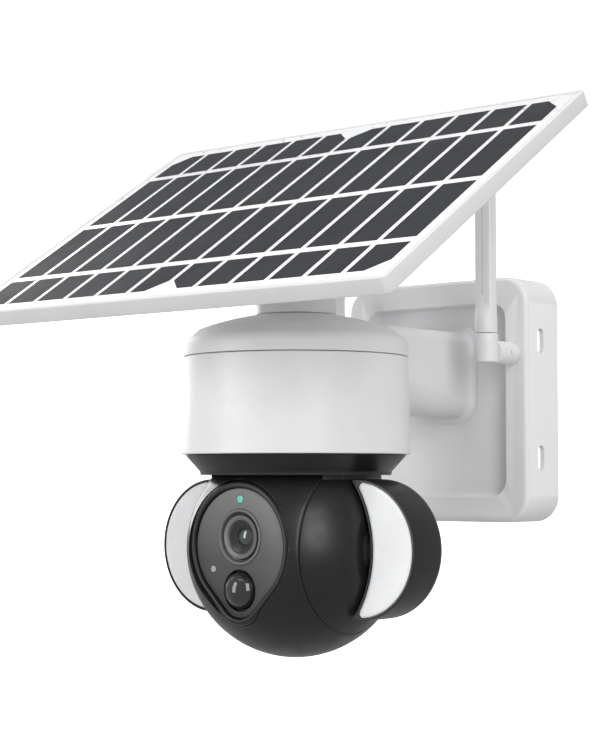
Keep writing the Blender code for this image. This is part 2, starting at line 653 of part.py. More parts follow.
def make_housing_insides():
    motor_y = HOUSING_AXIS + PAN_PINION_OUT - MOTOR_OFFSET
    motor = cylinder("pan_motor", MOTOR_RADIUS, MOTOR_HEIGHT, STEEL,
                     (0, motor_y, MOTOR_FOOT), steps=20)
    shaft_depth = MOTOR_HEIGHT / 2
    cut(motor, cylinder("motor_bore_cut", MOTOR_SHAFT + GAP, shaft_depth + EPS, None,
                        (0, HOUSING_AXIS + PAN_PINION_OUT, MOTOR_FOOT - EPS), steps=16))
    board_front = sphere_height(INNER_RADIUS - BOARD_CLEAR, BOARD_WIDTH / 2)
    block("main_board", (BOARD_WIDTH, board_front + BOARD_BACK, BOARD_THICK), BOARD,
          (0, HOUSING_AXIS + (BOARD_BACK - board_front) / 2, MOTOR_FOOT + BOARD_LIFT))
    tray_foot = MOTOR_FOOT + MOTOR_HEIGHT + GAP
    tray_width = CELL_COUNT * 2 * (CELL_RADIUS + GAP) + 2 * TRAY_WALL
    tray = block("battery_tray", (CELL_LENGTH + 2 * TRAY_WALL, tray_width, TRAY_HEIGHT), BLACK,
                 (0, HOUSING_AXIS, tray_foot + TRAY_HEIGHT / 2))
    cell_rise = tray_foot + TRAY_FLOOR + CELL_RADIUS
    for i in range(CELL_COUNT):
        y = HOUSING_AXIS + (i - (CELL_COUNT - 1) / 2) * 2 * (CELL_RADIUS + 2 * GAP)
        cut(tray, cylinder("cell_cut", CELL_RADIUS + GAP, CELL_LENGTH + 2 * GAP, None,
                           (-CELL_LENGTH / 2 - GAP, y, cell_rise), "right", steps=20))
        cylinder("battery_cell_%d" % (i + 1), CELL_RADIUS, CELL_LENGTH, CELL_WRAP,
                 (-CELL_LENGTH / 2, y, cell_rise), "right", steps=16)


def make_button_and_port():
    """A sprung power button and a rubber port cover, on the housing's left side."""
    side = -HOUSING_FOOT_RADIUS
    flange = BUTTON_RADIUS + BUTTON_FLANGE
    # The flat flange clears the round wall behind it.
    inner = sphere_height(INNER_RADIUS, flange) - GAP
    cap_length = HOUSING_FOOT_RADIUS + BUTTON_PROUD - inner
    profile = [(0.0, cap_length), (BUTTON_RADIUS - 0.5 * MM, cap_length),
               (BUTTON_RADIUS, cap_length - 0.5 * MM), (BUTTON_RADIUS, 0.0),
               (flange, 0.0), (flange, -BUTTON_FLANGE_THICK), (0.0, -BUTTON_FLANGE_THICK)]
    hinge = empty("power_button_slide", (-inner + GAP, HOUSING_AXIS, BUTTON_RISE))
    turned("power_button", profile, BLACK, (0, 0, 0), "left", hinge, steps=24)
    port_y, port_z = PORT_SIZE
    depth = HOUSING_FOOT_RADIUS - INNER_RADIUS + PORT_PLUG + PORT_PROUD
    block("port_cover", (depth, port_y, port_z), RUBBER,
          (side + depth / 2 - PORT_PROUD, HOUSING_AXIS, PORT_RISE), edge=1.0 * MM)


# -------------------------------------------------------------- solar panel
def make_turntable():
    """The round neck that turns on the dome, with two ears for the tilt bolt."""
    foot = CAP_FLAT + GAP
    turn = empty("panel_turn", HOUSING_PLACE)
    neck = cylinder("panel_turntable", NECK_RADIUS, NECK_TOP - foot, WHITE, (0, 0, foot),
                    parent=turn, steps=40)
    join(neck, block("ear_post", (2 * EAR_HALF, 2 * EAR_RADIUS, HINGE_RISE - NECK_TOP + EPS), None,
                     (0, 0, (HINGE_RISE + NECK_TOP - EPS) / 2), turn))
    join(neck, cylinder("ear_round", EAR_RADIUS, 2 * EAR_HALF, None,
                        (-EAR_HALF, 0, HINGE_RISE), "right", turn, steps=24))
    slot_foot = HINGE_RISE - LUG_RADIUS - 2 * GAP
    slot_height = 2 * (EAR_RADIUS + LUG_RADIUS)
    cut(neck, block("lug_slot_cut", (2 * (LUG_HALF + GAP), 3 * NECK_RADIUS, slot_height), None,
                    (0, 0, slot_foot + slot_height / 2), turn))
    cut(neck, cylinder("ear_bore_cut", BOLT_RADIUS + GAP, 3 * EAR_HALF, None,
                       (-1.5 * EAR_HALF, 0, HINGE_RISE), "right", turn, steps=20))
    grip = HINGE_RISE - NECK_TOP - 2 * GAP
    head_foot = EAR_HALF + GAP
    bolt_end = -EAR_HALF - BOLT_END
    profile = [(0.0, head_foot + BOLT_HEAD), (grip, head_foot + BOLT_HEAD),
               (grip, head_foot), (BOLT_RADIUS, head_foot), (BOLT_RADIUS, bolt_end),
               (0.0, bolt_end)]
    turned("tilt_bolt", profile, STEEL, (0, 0, HINGE_RISE), "right", turn, steps=20)
    knob_foot = -EAR_HALF - GAP - KNOB_LENGTH
    knob = cylinder("tilt_knob", grip, KNOB_LENGTH, BLACK, (knob_foot, 0, HINGE_RISE),
                    "right", turn, steps=24)
    cut(knob, cylinder("knob_bore_cut", BOLT_RADIUS + GAP, KNOB_LENGTH, None,
                       (knob_foot + KNOB_END, 0, HINGE_RISE), "right", turn, steps=20))


def make_panel():
    """The tilting panel, built flat about its hinge: x along, y across, z out."""
    hinge = empty("panel_hinge", (0, HOUSING_AXIS, HINGE_RISE), rotation=(PANEL_TILT, 0, 0))
    frame_top = PANEL_RISE + LIP_HEIGHT
    frame_foot = frame_top - PANEL_THICK
    brace_top = frame_foot - GAP
    brace_foot = brace_top - BRACE_THICK

    def outline(inset):
        return rounded(PANEL_LENGTH - 2 * inset, PANEL_WIDTH - 2 * inset,
                       max(PANEL_CORNER - inset, 0.5 * MM), 4)

    frame = plate("panel_frame", outline(0), PANEL_THICK, WHITE, (0, 0, frame_foot),
                  parent=hinge)
    lip = LIP_WIDTH
    laminate_foot = PANEL_RISE - LAMINATE_THICK
    cut(frame, plate("laminate_seat_cut", outline(lip), frame_top - laminate_foot + GAP + EPS,
                     None, (0, 0, laminate_foot - GAP), parent=hinge))
    back_top = frame_foot + BACK_THICK
    cut(frame, plate("frame_ledge_cut", outline(lip + LEDGE), PANEL_THICK, None,
                     (0, 0, back_top), parent=hinge))
    cut(frame, plate("back_seat_cut", outline(lip), BACK_THICK + GAP + EPS, None,
                     (0, 0, frame_foot - EPS), parent=hinge))
    plate("solar_laminate", outline(lip + GAP), LAMINATE_THICK, CELLS,
          (0, 0, laminate_foot), parent=hinge)
    plate("panel_back_cover", outline(lip + GAP), BACK_THICK, WHITE,
          (0, 0, frame_foot), parent=hinge)

    brace = plate("panel_brace", rounded(BRACE, BRACE, BRACE_CORNER, 4), BRACE_THICK, WHITE,
                  (0, 0, brace_foot), parent=hinge)
    join(brace, block("lug_post", (2 * LUG_HALF, 2 * LUG_RADIUS, brace_foot + EPS), None,
                      (0, 0, (brace_foot + EPS) / 2), hinge))
    join(brace, cylinder("lug_round", LUG_RADIUS, 2 * LUG_HALF, None, (-LUG_HALF, 0, 0),
                         "right", hinge, steps=24))
    cut(brace, cylinder("lug_bore_cut", BOLT_RADIUS + GAP, 4 * LUG_HALF, None,
                        (-2 * LUG_HALF, 0, 0), "right", hinge, steps=20))


# ------------------------------------------------------------------ aerials
def make_aerial(side_name, side):
    out = side * AERIAL_OUT
    barrel_back = AERIAL_AXIS + BARREL_RADIUS
    socket_length = -BRACKET_DEPTH - barrel_back - 2 * GAP
    cylinder("aerial_socket_" + side_name, SOCKET_RADIUS, socket_length, STEEL,
             (out, -BRACKET_DEPTH - GAP, AERIAL_RISE), "front", steps=24)
    swivel = empty("aerial_swivel_" + side_name, (out, AERIAL_AXIS, AERIAL_RISE))
    cylinder("aerial_barrel_" + side_name, BARREL_RADIUS, BARREL_TOP - BARREL_BOTTOM, WHITE,
             (0, 0, BARREL_BOTTOM - AERIAL_RISE), parent=swivel, steps=24)
    whip_foot = BARREL_TOP + GAP - AERIAL_RISE
    whip = cylinder("aerial_whip_" + side_name, WHIP_RADIUS, BLADE_START - AERIAL_RISE - whip_foot,
                    WHITE, (0, 0, whip_foot), parent=swivel, steps=24)
    blade_foot = WHIP_SHOULDER - AERIAL_RISE
    blade_top = AERIAL_TOP - AERIAL_RISE
    blade = block("blade", (BLADE_WIDTH, BLADE_THICK, blade_top - blade_foot), None,
                  (0, 0, (blade_foot + blade_top) / 2), swivel, edge=1.2 * MM)
    join(whip, blade)


# ------------------------------------------------------------------- turret
CONE_TOP = HOUSING_BOTTOM - GAP
CONE_BOTTOM = CONE_TOP - CONE_HEIGHT
BUSH_OUTER = HUB_RADIUS + GAP + BUSH_WALL
CHEEK_INNER = BALL_HALF + GAP
SHAFT_RING = BALL_HALF - BALL_WALL


def sphere_height(radius, across):
    """Distance from a sphere's middle plane to its surface."""
    return math.sqrt(radius ** 2 - across ** 2)


def make_turret():
    """The rotating cup over the ball, its retaining ring and the pan gear."""
    pan = empty("head_pan", HOUSING_PLACE)
    neck_top = HOUSING_BOTTOM + TURRET_NECK_HEIGHT
    start = math.degrees(math.asin((CONE_BOTTOM - HEAD_CENTRE) / SOCKET_HOLLOW))
    end = math.degrees(math.acos(CABLE_HOLE / SOCKET_HOLLOW))
    hollow = arc((0, HEAD_CENTRE), SOCKET_HOLLOW, start, end, 5)
    profile = [(CABLE_HOLE, TURRET_TOP), (GEAR_SEAT, TURRET_TOP), (GEAR_SEAT, neck_top),
               (TURRET_NECK, neck_top), (TURRET_NECK, CONE_TOP), (CONE_TOP_RADIUS, CONE_TOP),
               (CONE_BOTTOM_RADIUS, CONE_BOTTOM)] + hollow
    turned("turret_cone", profile, BLACK, (0, 0, 0), parent=pan, steps=32)
    ring_foot = neck_top + GAP
    ring("retaining_ring", GEAR_SEAT + GAP, BEARING_OUTER - GAP, ring_foot,
         ring_foot + RING_THICK, STEEL, (0, 0, 0), parent=pan, steps=40)
    gear("pan_gear", PAN_TEETH, PAN_MODULE, GEAR_SEAT + GAP, GEAR_THICK, NYLON,
         (0, 0, GEAR_FOOT), parent=pan)
    pinion_spin = empty("pan_pinion_spin", (0, HOUSING_AXIS + PAN_PINION_OUT, GEAR_FOOT))
    # A tooth of the gear points along +Y where it is a quarter turn from +X.
    quarter = PAN_TEETH / 4 % 1
    gap_phase = (0.5 - quarter) * 2 * math.pi / PAN_PINION_TEETH
    pinion = gear("pan_pinion", PAN_PINION_TEETH, PAN_MODULE, 0, GEAR_THICK, NYLON,
                  (0, 0, 0), parent=pinion_spin,
                  phase=-math.pi / 2 + gap_phase)
    shaft_foot = GEAR_THICK / 2
    shaft_top = MOTOR_FOOT - GEAR_FOOT + MOTOR_HEIGHT / 2 - EPS
    join(pinion, cylinder("pinion_shaft", MOTOR_SHAFT, shaft_top - shaft_foot, None,
                          (0, 0, shaft_foot), parent=pinion_spin, steps=16))
    for side_name, side in SIDES:
        make_cheek(side_name, side, pan)
    return pan


def make_cheek(side_name, side, pan):
    """A cheek of the fork: a cap of the ball's own sphere, with a stem up to the cone."""
    pole = math.degrees(math.acos((BUSH_OUTER + GAP) / BALL_RADIUS))
    rim = math.degrees(math.asin(CHEEK_INNER / BALL_RADIUS))
    pocket_end = CHEEK_INNER + CHEEK_POCKET_DEPTH
    profile = arc((0, 0), BALL_RADIUS, pole, rim, 6)
    profile += [(CHEEK_POCKET, CHEEK_INNER), (CHEEK_POCKET, pocket_end),
                (CHEEK_HUB, pocket_end), (CHEEK_HUB, CHEEK_INNER),
                (BUSH_OUTER + GAP, CHEEK_INNER)]
    centre = (0, 0, HEAD_CENTRE)
    cheek = turned("fork_cheek_" + side_name, profile, BLACK, centre, side_turn(side), pan,
                   steps=28)
    stem_foot = sphere_height(BALL_RADIUS, CHEEK_INNER) * 0.78
    stem_top = sphere_height(SOCKET_HOLLOW, CHEEK_INNER) + EPS
    stem = cylinder("stem", STEM_RADIUS, stem_top - stem_foot, None,
                    (0, 0, HEAD_CENTRE + stem_foot), parent=pan, steps=40)
    reach = STEM_RADIUS + EPS
    keep(stem, block("stem_side", (reach - CHEEK_INNER, 2 * STEM_HALF, 4 * stem_foot), None,
                     (side * (reach + CHEEK_INNER) / 2, 0, HEAD_CENTRE + stem_foot), pan))
    ball = turned("stem_top_sphere", arc((0, 0), SOCKET_HOLLOW - GAP, 90, -90, 20), None,
                  centre, parent=pan, steps=40)
    keep(stem, ball)
    join(cheek, stem)
    if side < 0:
        bush_foot = TILT_SLEEVE_END + GAP
    else:
        bush_foot = CHEEK_INNER
    bush_top = sphere_height(BALL_RADIUS, BUSH_OUTER) - EPS
    ring("tilt_bush_" + side_name, HUB_RADIUS + GAP, BUSH_OUTER, bush_foot, bush_top, NYLON,
         centre, side_turn(side), pan, steps=20)


# -------------------------------------------------------------- camera head
TILT_SLEEVE_END = CHEEK_INNER + SLEEVE_LENGTH


def teardrop(grow, steps=14):
    """Two circles of unlike radius joined by their outer tangents."""
    (high, large), (low, small) = FACE_LARGE, FACE_SMALL
    large, small = large + grow, small + grow
    lean = math.degrees(math.asin((large - small) / (high - low)))
    outline = arc((0, high), large, -lean, 180 + lean, steps)
    outline += arc((0, low), small, 180 + lean, 360 - lean, steps // 2)
    return outline


def face_place(forward):
    """A place on the tilt axis' front, in the head's own frame."""
    return (0.0, -forward, 0.0)


def make_ball(tilt):
    """Front and rear shells of the truncated ball, split behind the tilt axis."""
    side_radius = sphere_height(BALL_RADIUS, BALL_HALF)
    rim = math.degrees(math.asin(BALL_HALF / BALL_RADIUS))
    inner = BALL_RADIUS - BALL_WALL
    inner_rim = math.degrees(math.asin(SHAFT_RING / inner))
    bore_right, bore_left = HUB_RADIUS + GAP, BUSH_OUTER + GAP
    profile = [(bore_right, BALL_HALF), (side_radius, BALL_HALF)]
    profile += arc((0, 0), BALL_RADIUS, rim, -rim, 10)[1:]
    profile += [(bore_left, -BALL_HALF), (bore_left, -SHAFT_RING)]
    profile += arc((0, 0), inner, -inner_rim, inner_rim, 6)
    profile += [(bore_right, SHAFT_RING)]
    box_size = 2.4 * BALL_RADIUS
    for name, low, high in (("ball_front_shell", -box_size, BALL_SPLIT - GAP / 2),
                            ("ball_rear_shell", BALL_SPLIT + GAP / 2, box_size)):
        shell = turned(name, profile, BLACK, (0, 0, 0), "right", tilt, steps=28)
        keep(shell, block("split", (box_size, high - low, box_size), None,
                          (0, (low + high) / 2, 0), tilt))
        if name == "ball_front_shell":
            cut(shell, plate("face_cut", teardrop(RIM + GAP), BALL_RADIUS, None,
                             face_place(FACE_OUT - 8 * MM), "front", tilt))


def make_face(tilt):
    bezel_front = FACE_OUT + RIM_PROUD
    bezel_depth = BEZEL_DEPTH
    bezel = plate("face_bezel", teardrop(RIM), bezel_depth, BLACK,
                  face_place(bezel_front - bezel_depth), "front", tilt)
    seat_depth = RIM_PROUD + FACE_THICK + GAP
    cut(bezel, plate("face_seat_cut", teardrop(GAP), seat_depth + EPS, None,
                     face_place(bezel_front - seat_depth), "front", tilt))
    cut(bezel, plate("bezel_window_cut", teardrop(-RIM_LEDGE), bezel_depth + 2 * EPS, None,
                     face_place(bezel_front - bezel_depth - EPS), "front", tilt))
    face = plate("face_plate", teardrop(0), FACE_THICK, GLOSS,
                 face_place(FACE_OUT - FACE_THICK), "front", tilt)
    x, z = SENSOR_PLACE
    windows = ((0.0, LENS_RISE, LENS_RADIUS), (0.0, PIR_RISE, PIR_RADIUS),
               (0.0, LED_RISE, LED_RADIUS), (x, z, SENSOR_RADIUS))
    for across, rise, radius in windows:
        cut(face, cylinder("window_cut", radius + GAP, 3 * FACE_THICK, None,
                           (across, -(FACE_OUT - 2 * FACE_THICK), rise), "front", tilt, steps=16))

    lens_foot = FACE_OUT - LENS_DEPTH
    dish_radius, dish_depth = LENS_DISH
    profile = [(LENS_RADIUS, FACE_OUT), (LENS_RADIUS, lens_foot), (LENS_GLASS + GAP, lens_foot),
               (LENS_GLASS + GAP, FACE_OUT - 1.5 * dish_depth),
               (dish_radius, FACE_OUT - dish_depth), (LENS_DISH_TOP, FACE_OUT)]
    centre = (0, 0, LENS_RISE)
    turned("lens_ring", profile, BLACK, centre, "front", tilt, steps=32)
    glass_front = FACE_OUT - LENS_GLASS_SET
    glass_foot = glass_front - LENS_GLASS_THICK
    profile = [(0.0, glass_front), (LENS_GLASS / 2, glass_front - LENS_GLASS_EDGE / 4),
               (LENS_GLASS, glass_front - LENS_GLASS_EDGE), (LENS_GLASS, glass_foot),
               (0.0, glass_foot)]
    turned("lens_glass", profile, GLASS, centre, "front", tilt, steps=32)
    barrel_foot = lens_foot - GAP - LENS_BARREL_LENGTH
    cylinder("lens_barrel", LENS_BARREL_RADIUS, LENS_BARREL_LENGTH, BLACK,
             (0, -barrel_foot, LENS_RISE), "front", tilt, steps=24)
    board_width, board_height = CAMERA_BOARD
    block("camera_board", (board_width, BOARD_THICK, board_height), BOARD,
          (0, -(barrel_foot - GAP - BOARD_THICK / 2), 0), tilt)

    dome, inner = PIR_RADIUS - PIR_STEP, PIR_RADIUS - PIR_STEP - PIR_WALL
    flange_foot = FACE_OUT - FACE_THICK - PIR_SET
    flange_top = flange_foot + PIR_FLANGE
    profile = [(0.0, flange_top + dome)] + arc((0, flange_top), dome, 90, 0, 4)[1:]
    profile += [(PIR_RADIUS - GAP, flange_top), (PIR_RADIUS - GAP, flange_foot),
                (inner, flange_foot)]
    inner_foot = flange_top - PIR_WALL
    profile += arc((0, inner_foot), inner, 0, 90, 3)[:-1] + [(0.0, inner_foot + inner)]
    turned("pir_lens", profile, BLACK, (0, 0, PIR_RISE), "front", tilt, steps=20)
    cylinder("pir_sensor", PIR_SENSOR_RADIUS, PIR_SENSOR_LENGTH, STEEL,
             (0, -(flange_foot - PIR_SENSOR_LENGTH + GAP), PIR_RISE), "front", tilt, steps=16)
    for name, radius, across, rise, finish in (
            ("status_light", LED_RADIUS, 0.0, LED_RISE, TEAL),
            ("light_sensor", SENSOR_RADIUS, x, z, GREY)):
        cylinder(name, radius, FACE_THICK + LIGHT_PIPE, finish,
                 (across, -(FACE_OUT - FACE_THICK - LIGHT_PIPE), rise), "front", tilt, steps=16)


def make_tilt_drive(pan, tilt):
    """A gear held by the left cheek, and a motor in the ball that rolls round it."""
    gear_near, gear_far = SHAFT_RING - GEAR_THICK - GAP, SHAFT_RING - GAP
    fixed = gear("tilt_gear", TILT_TEETH, TILT_MODULE, HUB_RADIUS + GAP, GEAR_THICK, NYLON,
                 (0, 0, 0), "left", pan)
    fixed.location = (-gear_near, 0, HEAD_CENTRE)
    join(fixed, ring("sleeve", HUB_RADIUS + GAP, BUSH_OUTER, gear_far - EPS, TILT_SLEEVE_END,
                     None, (0, 0, HEAD_CENTRE), "left", pan, steps=20))
    out = (TILT_TEETH + TILT_PINION_TEETH) / 2 * TILT_MODULE
    spin = empty("tilt_pinion_spin", (-gear_near, out, 0), tilt)
    quarter = TILT_TEETH / 4 % 1
    gap_phase = (0.5 - quarter) * 2 * math.pi / TILT_PINION_TEETH
    pinion = gear("tilt_pinion", TILT_PINION_TEETH, TILT_MODULE, 0, GEAR_THICK, NYLON,
                  (0, 0, 0), "left", spin, phase=-math.pi / 2 + gap_phase)
    shaft = cylinder("tilt_shaft", MOTOR_SHAFT, TILT_SHAFT_LENGTH, None, (-GEAR_THICK / 2, 0, 0), "right",
                     spin, steps=16)
    join(pinion, shaft)
    motor = cylinder("tilt_motor", MOTOR_RADIUS, MOTOR_HEIGHT, STEEL,
                     (-gear_near + 2 * GAP, out + TILT_MOTOR_OFFSET, 0), "right", tilt, steps=20)
    cut(motor, cylinder("tilt_motor_bore_cut", MOTOR_SHAFT + GAP, MOTOR_HEIGHT * 0.7, None,
                        (-gear_near - EPS, out, 0), "right", tilt, steps=16))


# ---------------------------------------------------------------- lamp pods
def drum(name, radius, front, back, finish, place, parent, edge=0.0, steps=40):
    """A round drum about an axis along Y, its back edge rounded."""
    profile = [(0.0, -front), (radius, -front)]
    if edge:
        profile += [(r, -z) for r, z in arc((radius - edge, back - edge), edge, 0, 90, 3)]
    else:
        profile.append((radius, -back))
    profile.append((0.0, -back))
    return turned(name, profile, finish, place, "front", parent, steps)


def sphere_cut(radius, parent):
    """The ball-shaped hollow that the pods leave round the fork's cheeks."""
    return turned("pod_hollow_cut", arc((0, 0), radius, 90, -90, 14), None, (0, 0, 0),
                  parent=parent, steps=28)


def make_pod(side_name, side, tilt):
    """A lamp pod: a drum beside the ball, hollowed by a sphere, on a hub."""
    centre = (side * POD_OUT, 0, 0)
    hub_foot = SHAFT_RING if side > 0 else SHAFT_RING - 2 * GEAR_THICK
    pod = drum("pod_shell_" + side_name, POD_RADIUS, POD_FRONT, POD_BACK, BLACK, centre, tilt,
               POD_ROUND)
    inner_radius = POD_RADIUS - DIFFUSER_INSET
    pocket = drum("pod_pocket_cut", inner_radius, POD_FRONT - EPS, POD_BACK - POD_WALL, None,
                  centre, tilt, POD_ROUND - DIFFUSER_INSET)
    cut(pocket, sphere_cut(DIFFUSER_INNER, tilt))
    cut(pod, sphere_cut(POD_INNER, tilt))
    cut(pod, pocket)
    join(pod, cylinder("hub", HUB_RADIUS, POD_INNER + GAP - hub_foot, None,
                       (side * hub_foot, 0, 0), side_turn(side), tilt, steps=32))
    lamp_front = POD_FRONT + GAP
    board_front = lamp_front + DIFFUSER_THICK + LED_BOARD_SETBACK
    parts = (("lamp_diffuser_", lamp_front, DIFFUSER_THICK, GAP, DIFFUSER),
             ("lamp_board_", board_front, LED_BOARD_THICK, 3 * GAP, BOARD))
    for name, front, thick, clear, finish in parts:
        piece = drum(name + side_name, inner_radius - clear, front, front + thick, finish,
                     centre, tilt)
        cut(piece, sphere_cut(DIFFUSER_INNER + clear, tilt))


def make_head(pan):
    tilt = empty("head_tilt", HEAD_PLACE)
    make_ball(tilt)
    make_face(tilt)
    make_tilt_drive(pan, tilt)
    for side_name, side in SIDES:
        make_pod(side_name, side, tilt)


make_bracket()
make_arm()
make_housing()
make_housing_insides()
make_button_and_port()
make_turntable()
make_panel()
for aerial_name, aerial_side in SIDES:
    make_aerial(aerial_name, aerial_side)
make_head(make_turret())
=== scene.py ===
"""Looks of the solar-powered pan and tilt security camera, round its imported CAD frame."""

import json
import math

import bmesh
import bpy
from mathutils import Matrix, Vector


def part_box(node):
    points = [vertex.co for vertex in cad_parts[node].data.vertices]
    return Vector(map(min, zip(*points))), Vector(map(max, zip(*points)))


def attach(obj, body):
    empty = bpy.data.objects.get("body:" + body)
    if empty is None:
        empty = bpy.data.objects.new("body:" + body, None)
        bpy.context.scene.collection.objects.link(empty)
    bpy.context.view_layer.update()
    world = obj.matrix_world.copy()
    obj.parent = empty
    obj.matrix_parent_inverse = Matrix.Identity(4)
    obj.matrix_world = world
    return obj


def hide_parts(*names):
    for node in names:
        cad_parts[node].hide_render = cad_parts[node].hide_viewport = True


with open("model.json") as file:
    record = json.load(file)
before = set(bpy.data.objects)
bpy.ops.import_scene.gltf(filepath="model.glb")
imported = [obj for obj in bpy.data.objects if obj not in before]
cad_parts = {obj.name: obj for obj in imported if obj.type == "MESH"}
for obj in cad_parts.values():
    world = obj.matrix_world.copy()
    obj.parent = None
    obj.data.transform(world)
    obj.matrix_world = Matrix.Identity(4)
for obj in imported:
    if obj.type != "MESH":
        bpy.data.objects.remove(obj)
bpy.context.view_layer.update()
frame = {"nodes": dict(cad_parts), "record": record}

MM = 0.001
JOINTS = {joint["name"]: joint for joint in frame["record"]["behaviour"]["joints"]}
HEAD = Vector(JOINTS["head_tilt"]["pos_m"])       # middle of the ball
HINGE = Vector(JOINTS["panel_tilt"]["pos_m"])     # bolt under the panel
PAN = Vector((HEAD.x, HEAD.y, 0.0))                      # foot of the pan axis
SIDES = (("left", -1), ("right", 1))

# ------------------------------------------------ sizes that the CAD also has
GAP = 0.3 * MM
HOUSING_SEAM = 16.0 * MM
SEAM_HALF = 0.15 * MM
HOUSING_RADIUS = 50.0 * MM
WALL = 2.4 * MM
DOME_RADIUS = 124.0 * MM
DOME_TOP = 36.0 * MM
CAP_SEAT = 18.6 * MM
CAP_SHOULDER = 5.0 * MM
BORDER = 12.5 * MM
RECESS_DEPTH = 7.0 * MM
SLOT = (12.0 * MM, 5.5 * MM)
SLOT_RISE = 28.0 * MM
SLOT_SETBACK = 16.0 * MM
PANEL_TILT = math.radians(33)
BOLT_BORE = 2.3 * MM
PANEL_RISE = 39.1 * MM
PANEL_SIZE = (239.0 * MM, 172.0 * MM)
PANEL_THICK = 7.6 * MM
LIP_WIDTH = 2.0 * MM
LIP_HEIGHT = 0.6 * MM
BALL_RADIUS = 48.3 * MM
BALL_HALF = 31.6 * MM
BALL_WALL = 2.3 * MM
BALL_SPLIT = 12.0 * MM
SOCKET_HOLLOW = 51.0 * MM
STEM_RADIUS = 38.0 * MM
STEM_HALF = 24.0 * MM
HUB_RADIUS = 8.2 * MM
FACE_OUT = 37.6 * MM
RIM = 3.2 * MM
RIM_PROUD = 1.4 * MM
FACE_LARGE = (1.5 * MM, 24.7 * MM)
FACE_SMALL = (-18.5 * MM, 10.6 * MM)
LENS_RISE = 5.35 * MM
LENS_RADIUS = 12.05 * MM
PIR_RISE = -17.4 * MM
PIR_RADIUS = 8.8 * MM
LED_RISE = 21.5 * MM
LED_RADIUS = 1.8 * MM
SENSOR_PLACE = (-15.2 * MM, -8.7 * MM)
SENSOR_RADIUS = 1.5 * MM
POD_OUT = 41.7 * MM
POD_RADIUS = 30.0 * MM
POD_FRONT = -9.8 * MM
POD_BACK = 13.5 * MM
POD_ROUND = 5.0 * MM
POD_INNER = 50.0 * MM

# ------------------------------------------------------------- solar cells
STRIPS = 12
STRIP_GROUP = 6                # strips between two chamfered ends
STRIP_PITCH = 19.02 * MM
STRIP_GAP = 2.6 * MM
ROW_HEIGHTS = (22.8 * MM, 49.1 * MM, 49.1 * MM, 22.8 * MM)
ROW_GAP = 4.2 * MM
CELL_CHAMFER = 8.0 * MM
CELL_THICK = 0.12 * MM


# ================================================================ materials
def principled(name, colour, roughness, **values):
    made = bpy.data.materials.new(name)
    made.use_nodes = True
    shader = made.node_tree.nodes["Principled BSDF"]
    shader.inputs["Base Color"].default_value = (*colour, 1.0)
    shader.inputs["Roughness"].default_value = roughness
    for key, value in values.items():
        shader.inputs[key.replace("_", " ")].default_value = value
    return made, made.node_tree, shader


def feed(tree, shader, **values):
    """Drive the shader's sockets from other nodes."""
    for key, value in values.items():
        tree.links.new(value, shader.inputs[key.replace("_", " ")])


def noise(tree, scale, detail=4.0, coordinates="Object", stretch=(1, 1, 1)):
    place = tree.nodes.new("ShaderNodeTexCoord")
    mapping = tree.nodes.new("ShaderNodeMapping")
    mapping.inputs["Scale"].default_value = stretch
    tree.links.new(place.outputs[coordinates], mapping.inputs["Vector"])
    texture = tree.nodes.new("ShaderNodeTexNoise")
    texture.inputs["Scale"].default_value = scale
    texture.inputs["Detail"].default_value = detail
    tree.links.new(mapping.outputs["Vector"], texture.inputs["Vector"])
    return texture.outputs["Fac"]


def ramp(tree, value, stops):
    """A colour ramp of (position, colour) stops; a number stands for a grey."""
    node = tree.nodes.new("ShaderNodeValToRGB")
    elements = node.color_ramp.elements
    while len(elements) < len(stops):
        elements.new(0.5)
    for element, (position, colour) in zip(elements, stops):
        element.position = position
        grey = not hasattr(colour, "__len__")
        element.color = (colour, colour, colour, 1.0) if grey else (*colour, 1.0)
    tree.links.new(value, node.inputs["Fac"])
    return node.outputs["Color"]


def mix(tree, factor, first, second, blend="MIX"):
    node = tree.nodes.new("ShaderNodeMix")
    node.data_type = "RGBA"
    node.blend_type = blend
    for socket, value in ((node.inputs["Factor"], factor), (node.inputs["A"], first),
                          (node.inputs["B"], second)):
        if hasattr(value, "is_linked"):
            tree.links.new(value, socket)
        elif socket.type == "RGBA":
            socket.default_value = (*value, 1.0)
        else:
            socket.default_value = value
    return node.outputs["Result"]


def bump(tree, shader, height, strength, distance):
    node = tree.nodes.new("ShaderNodeBump")
    node.inputs["Strength"].default_value = strength
    node.inputs["Distance"].default_value = distance
    tree.links.new(height, node.inputs["Height"])
    feed(tree, shader, Normal=node.outputs["Normal"])


def painted_edge_highlight(tree, low=0.52, high=0.60):
    """Painted highlight: brighter along outer edges, from the surface's own pointiness."""
    geometry = tree.nodes.new("ShaderNodeNewGeometry")
    return ramp(tree, geometry.outputs["Pointiness"], ((low, 0.0), (high, 1.0)))


def moulded(name, colour, edge_highlight_colour, roughness, grain=2600.0, depth=0.02 * MM, **values):
    """Moulded plastic: a fine spark-eroded grain, faint mottling and a painted highlight along its
    edges.
    """
    made, tree, shader = principled(name, colour, roughness, **values)
    mottle = noise(tree, 45.0, 3.0)
    darker = tuple(c * 0.95 for c in colour)
    base = mix(tree, ramp(tree, mottle, ((0.35, 0.0), (0.65, 1.0))), darker, colour)
    # painted highlight: the colour turns paler along outer edges
    base = mix(tree, painted_edge_highlight(tree), base, edge_highlight_colour)
    feed(tree, shader, Base_Color=base)
    rough = ramp(tree, noise(tree, 160.0), ((0.3, roughness - 0.05), (0.7, roughness + 0.06)))
    feed(tree, shader, Roughness=rough)
    bump(tree, shader, noise(tree, grain, 2.0), 0.35, depth)
    return made


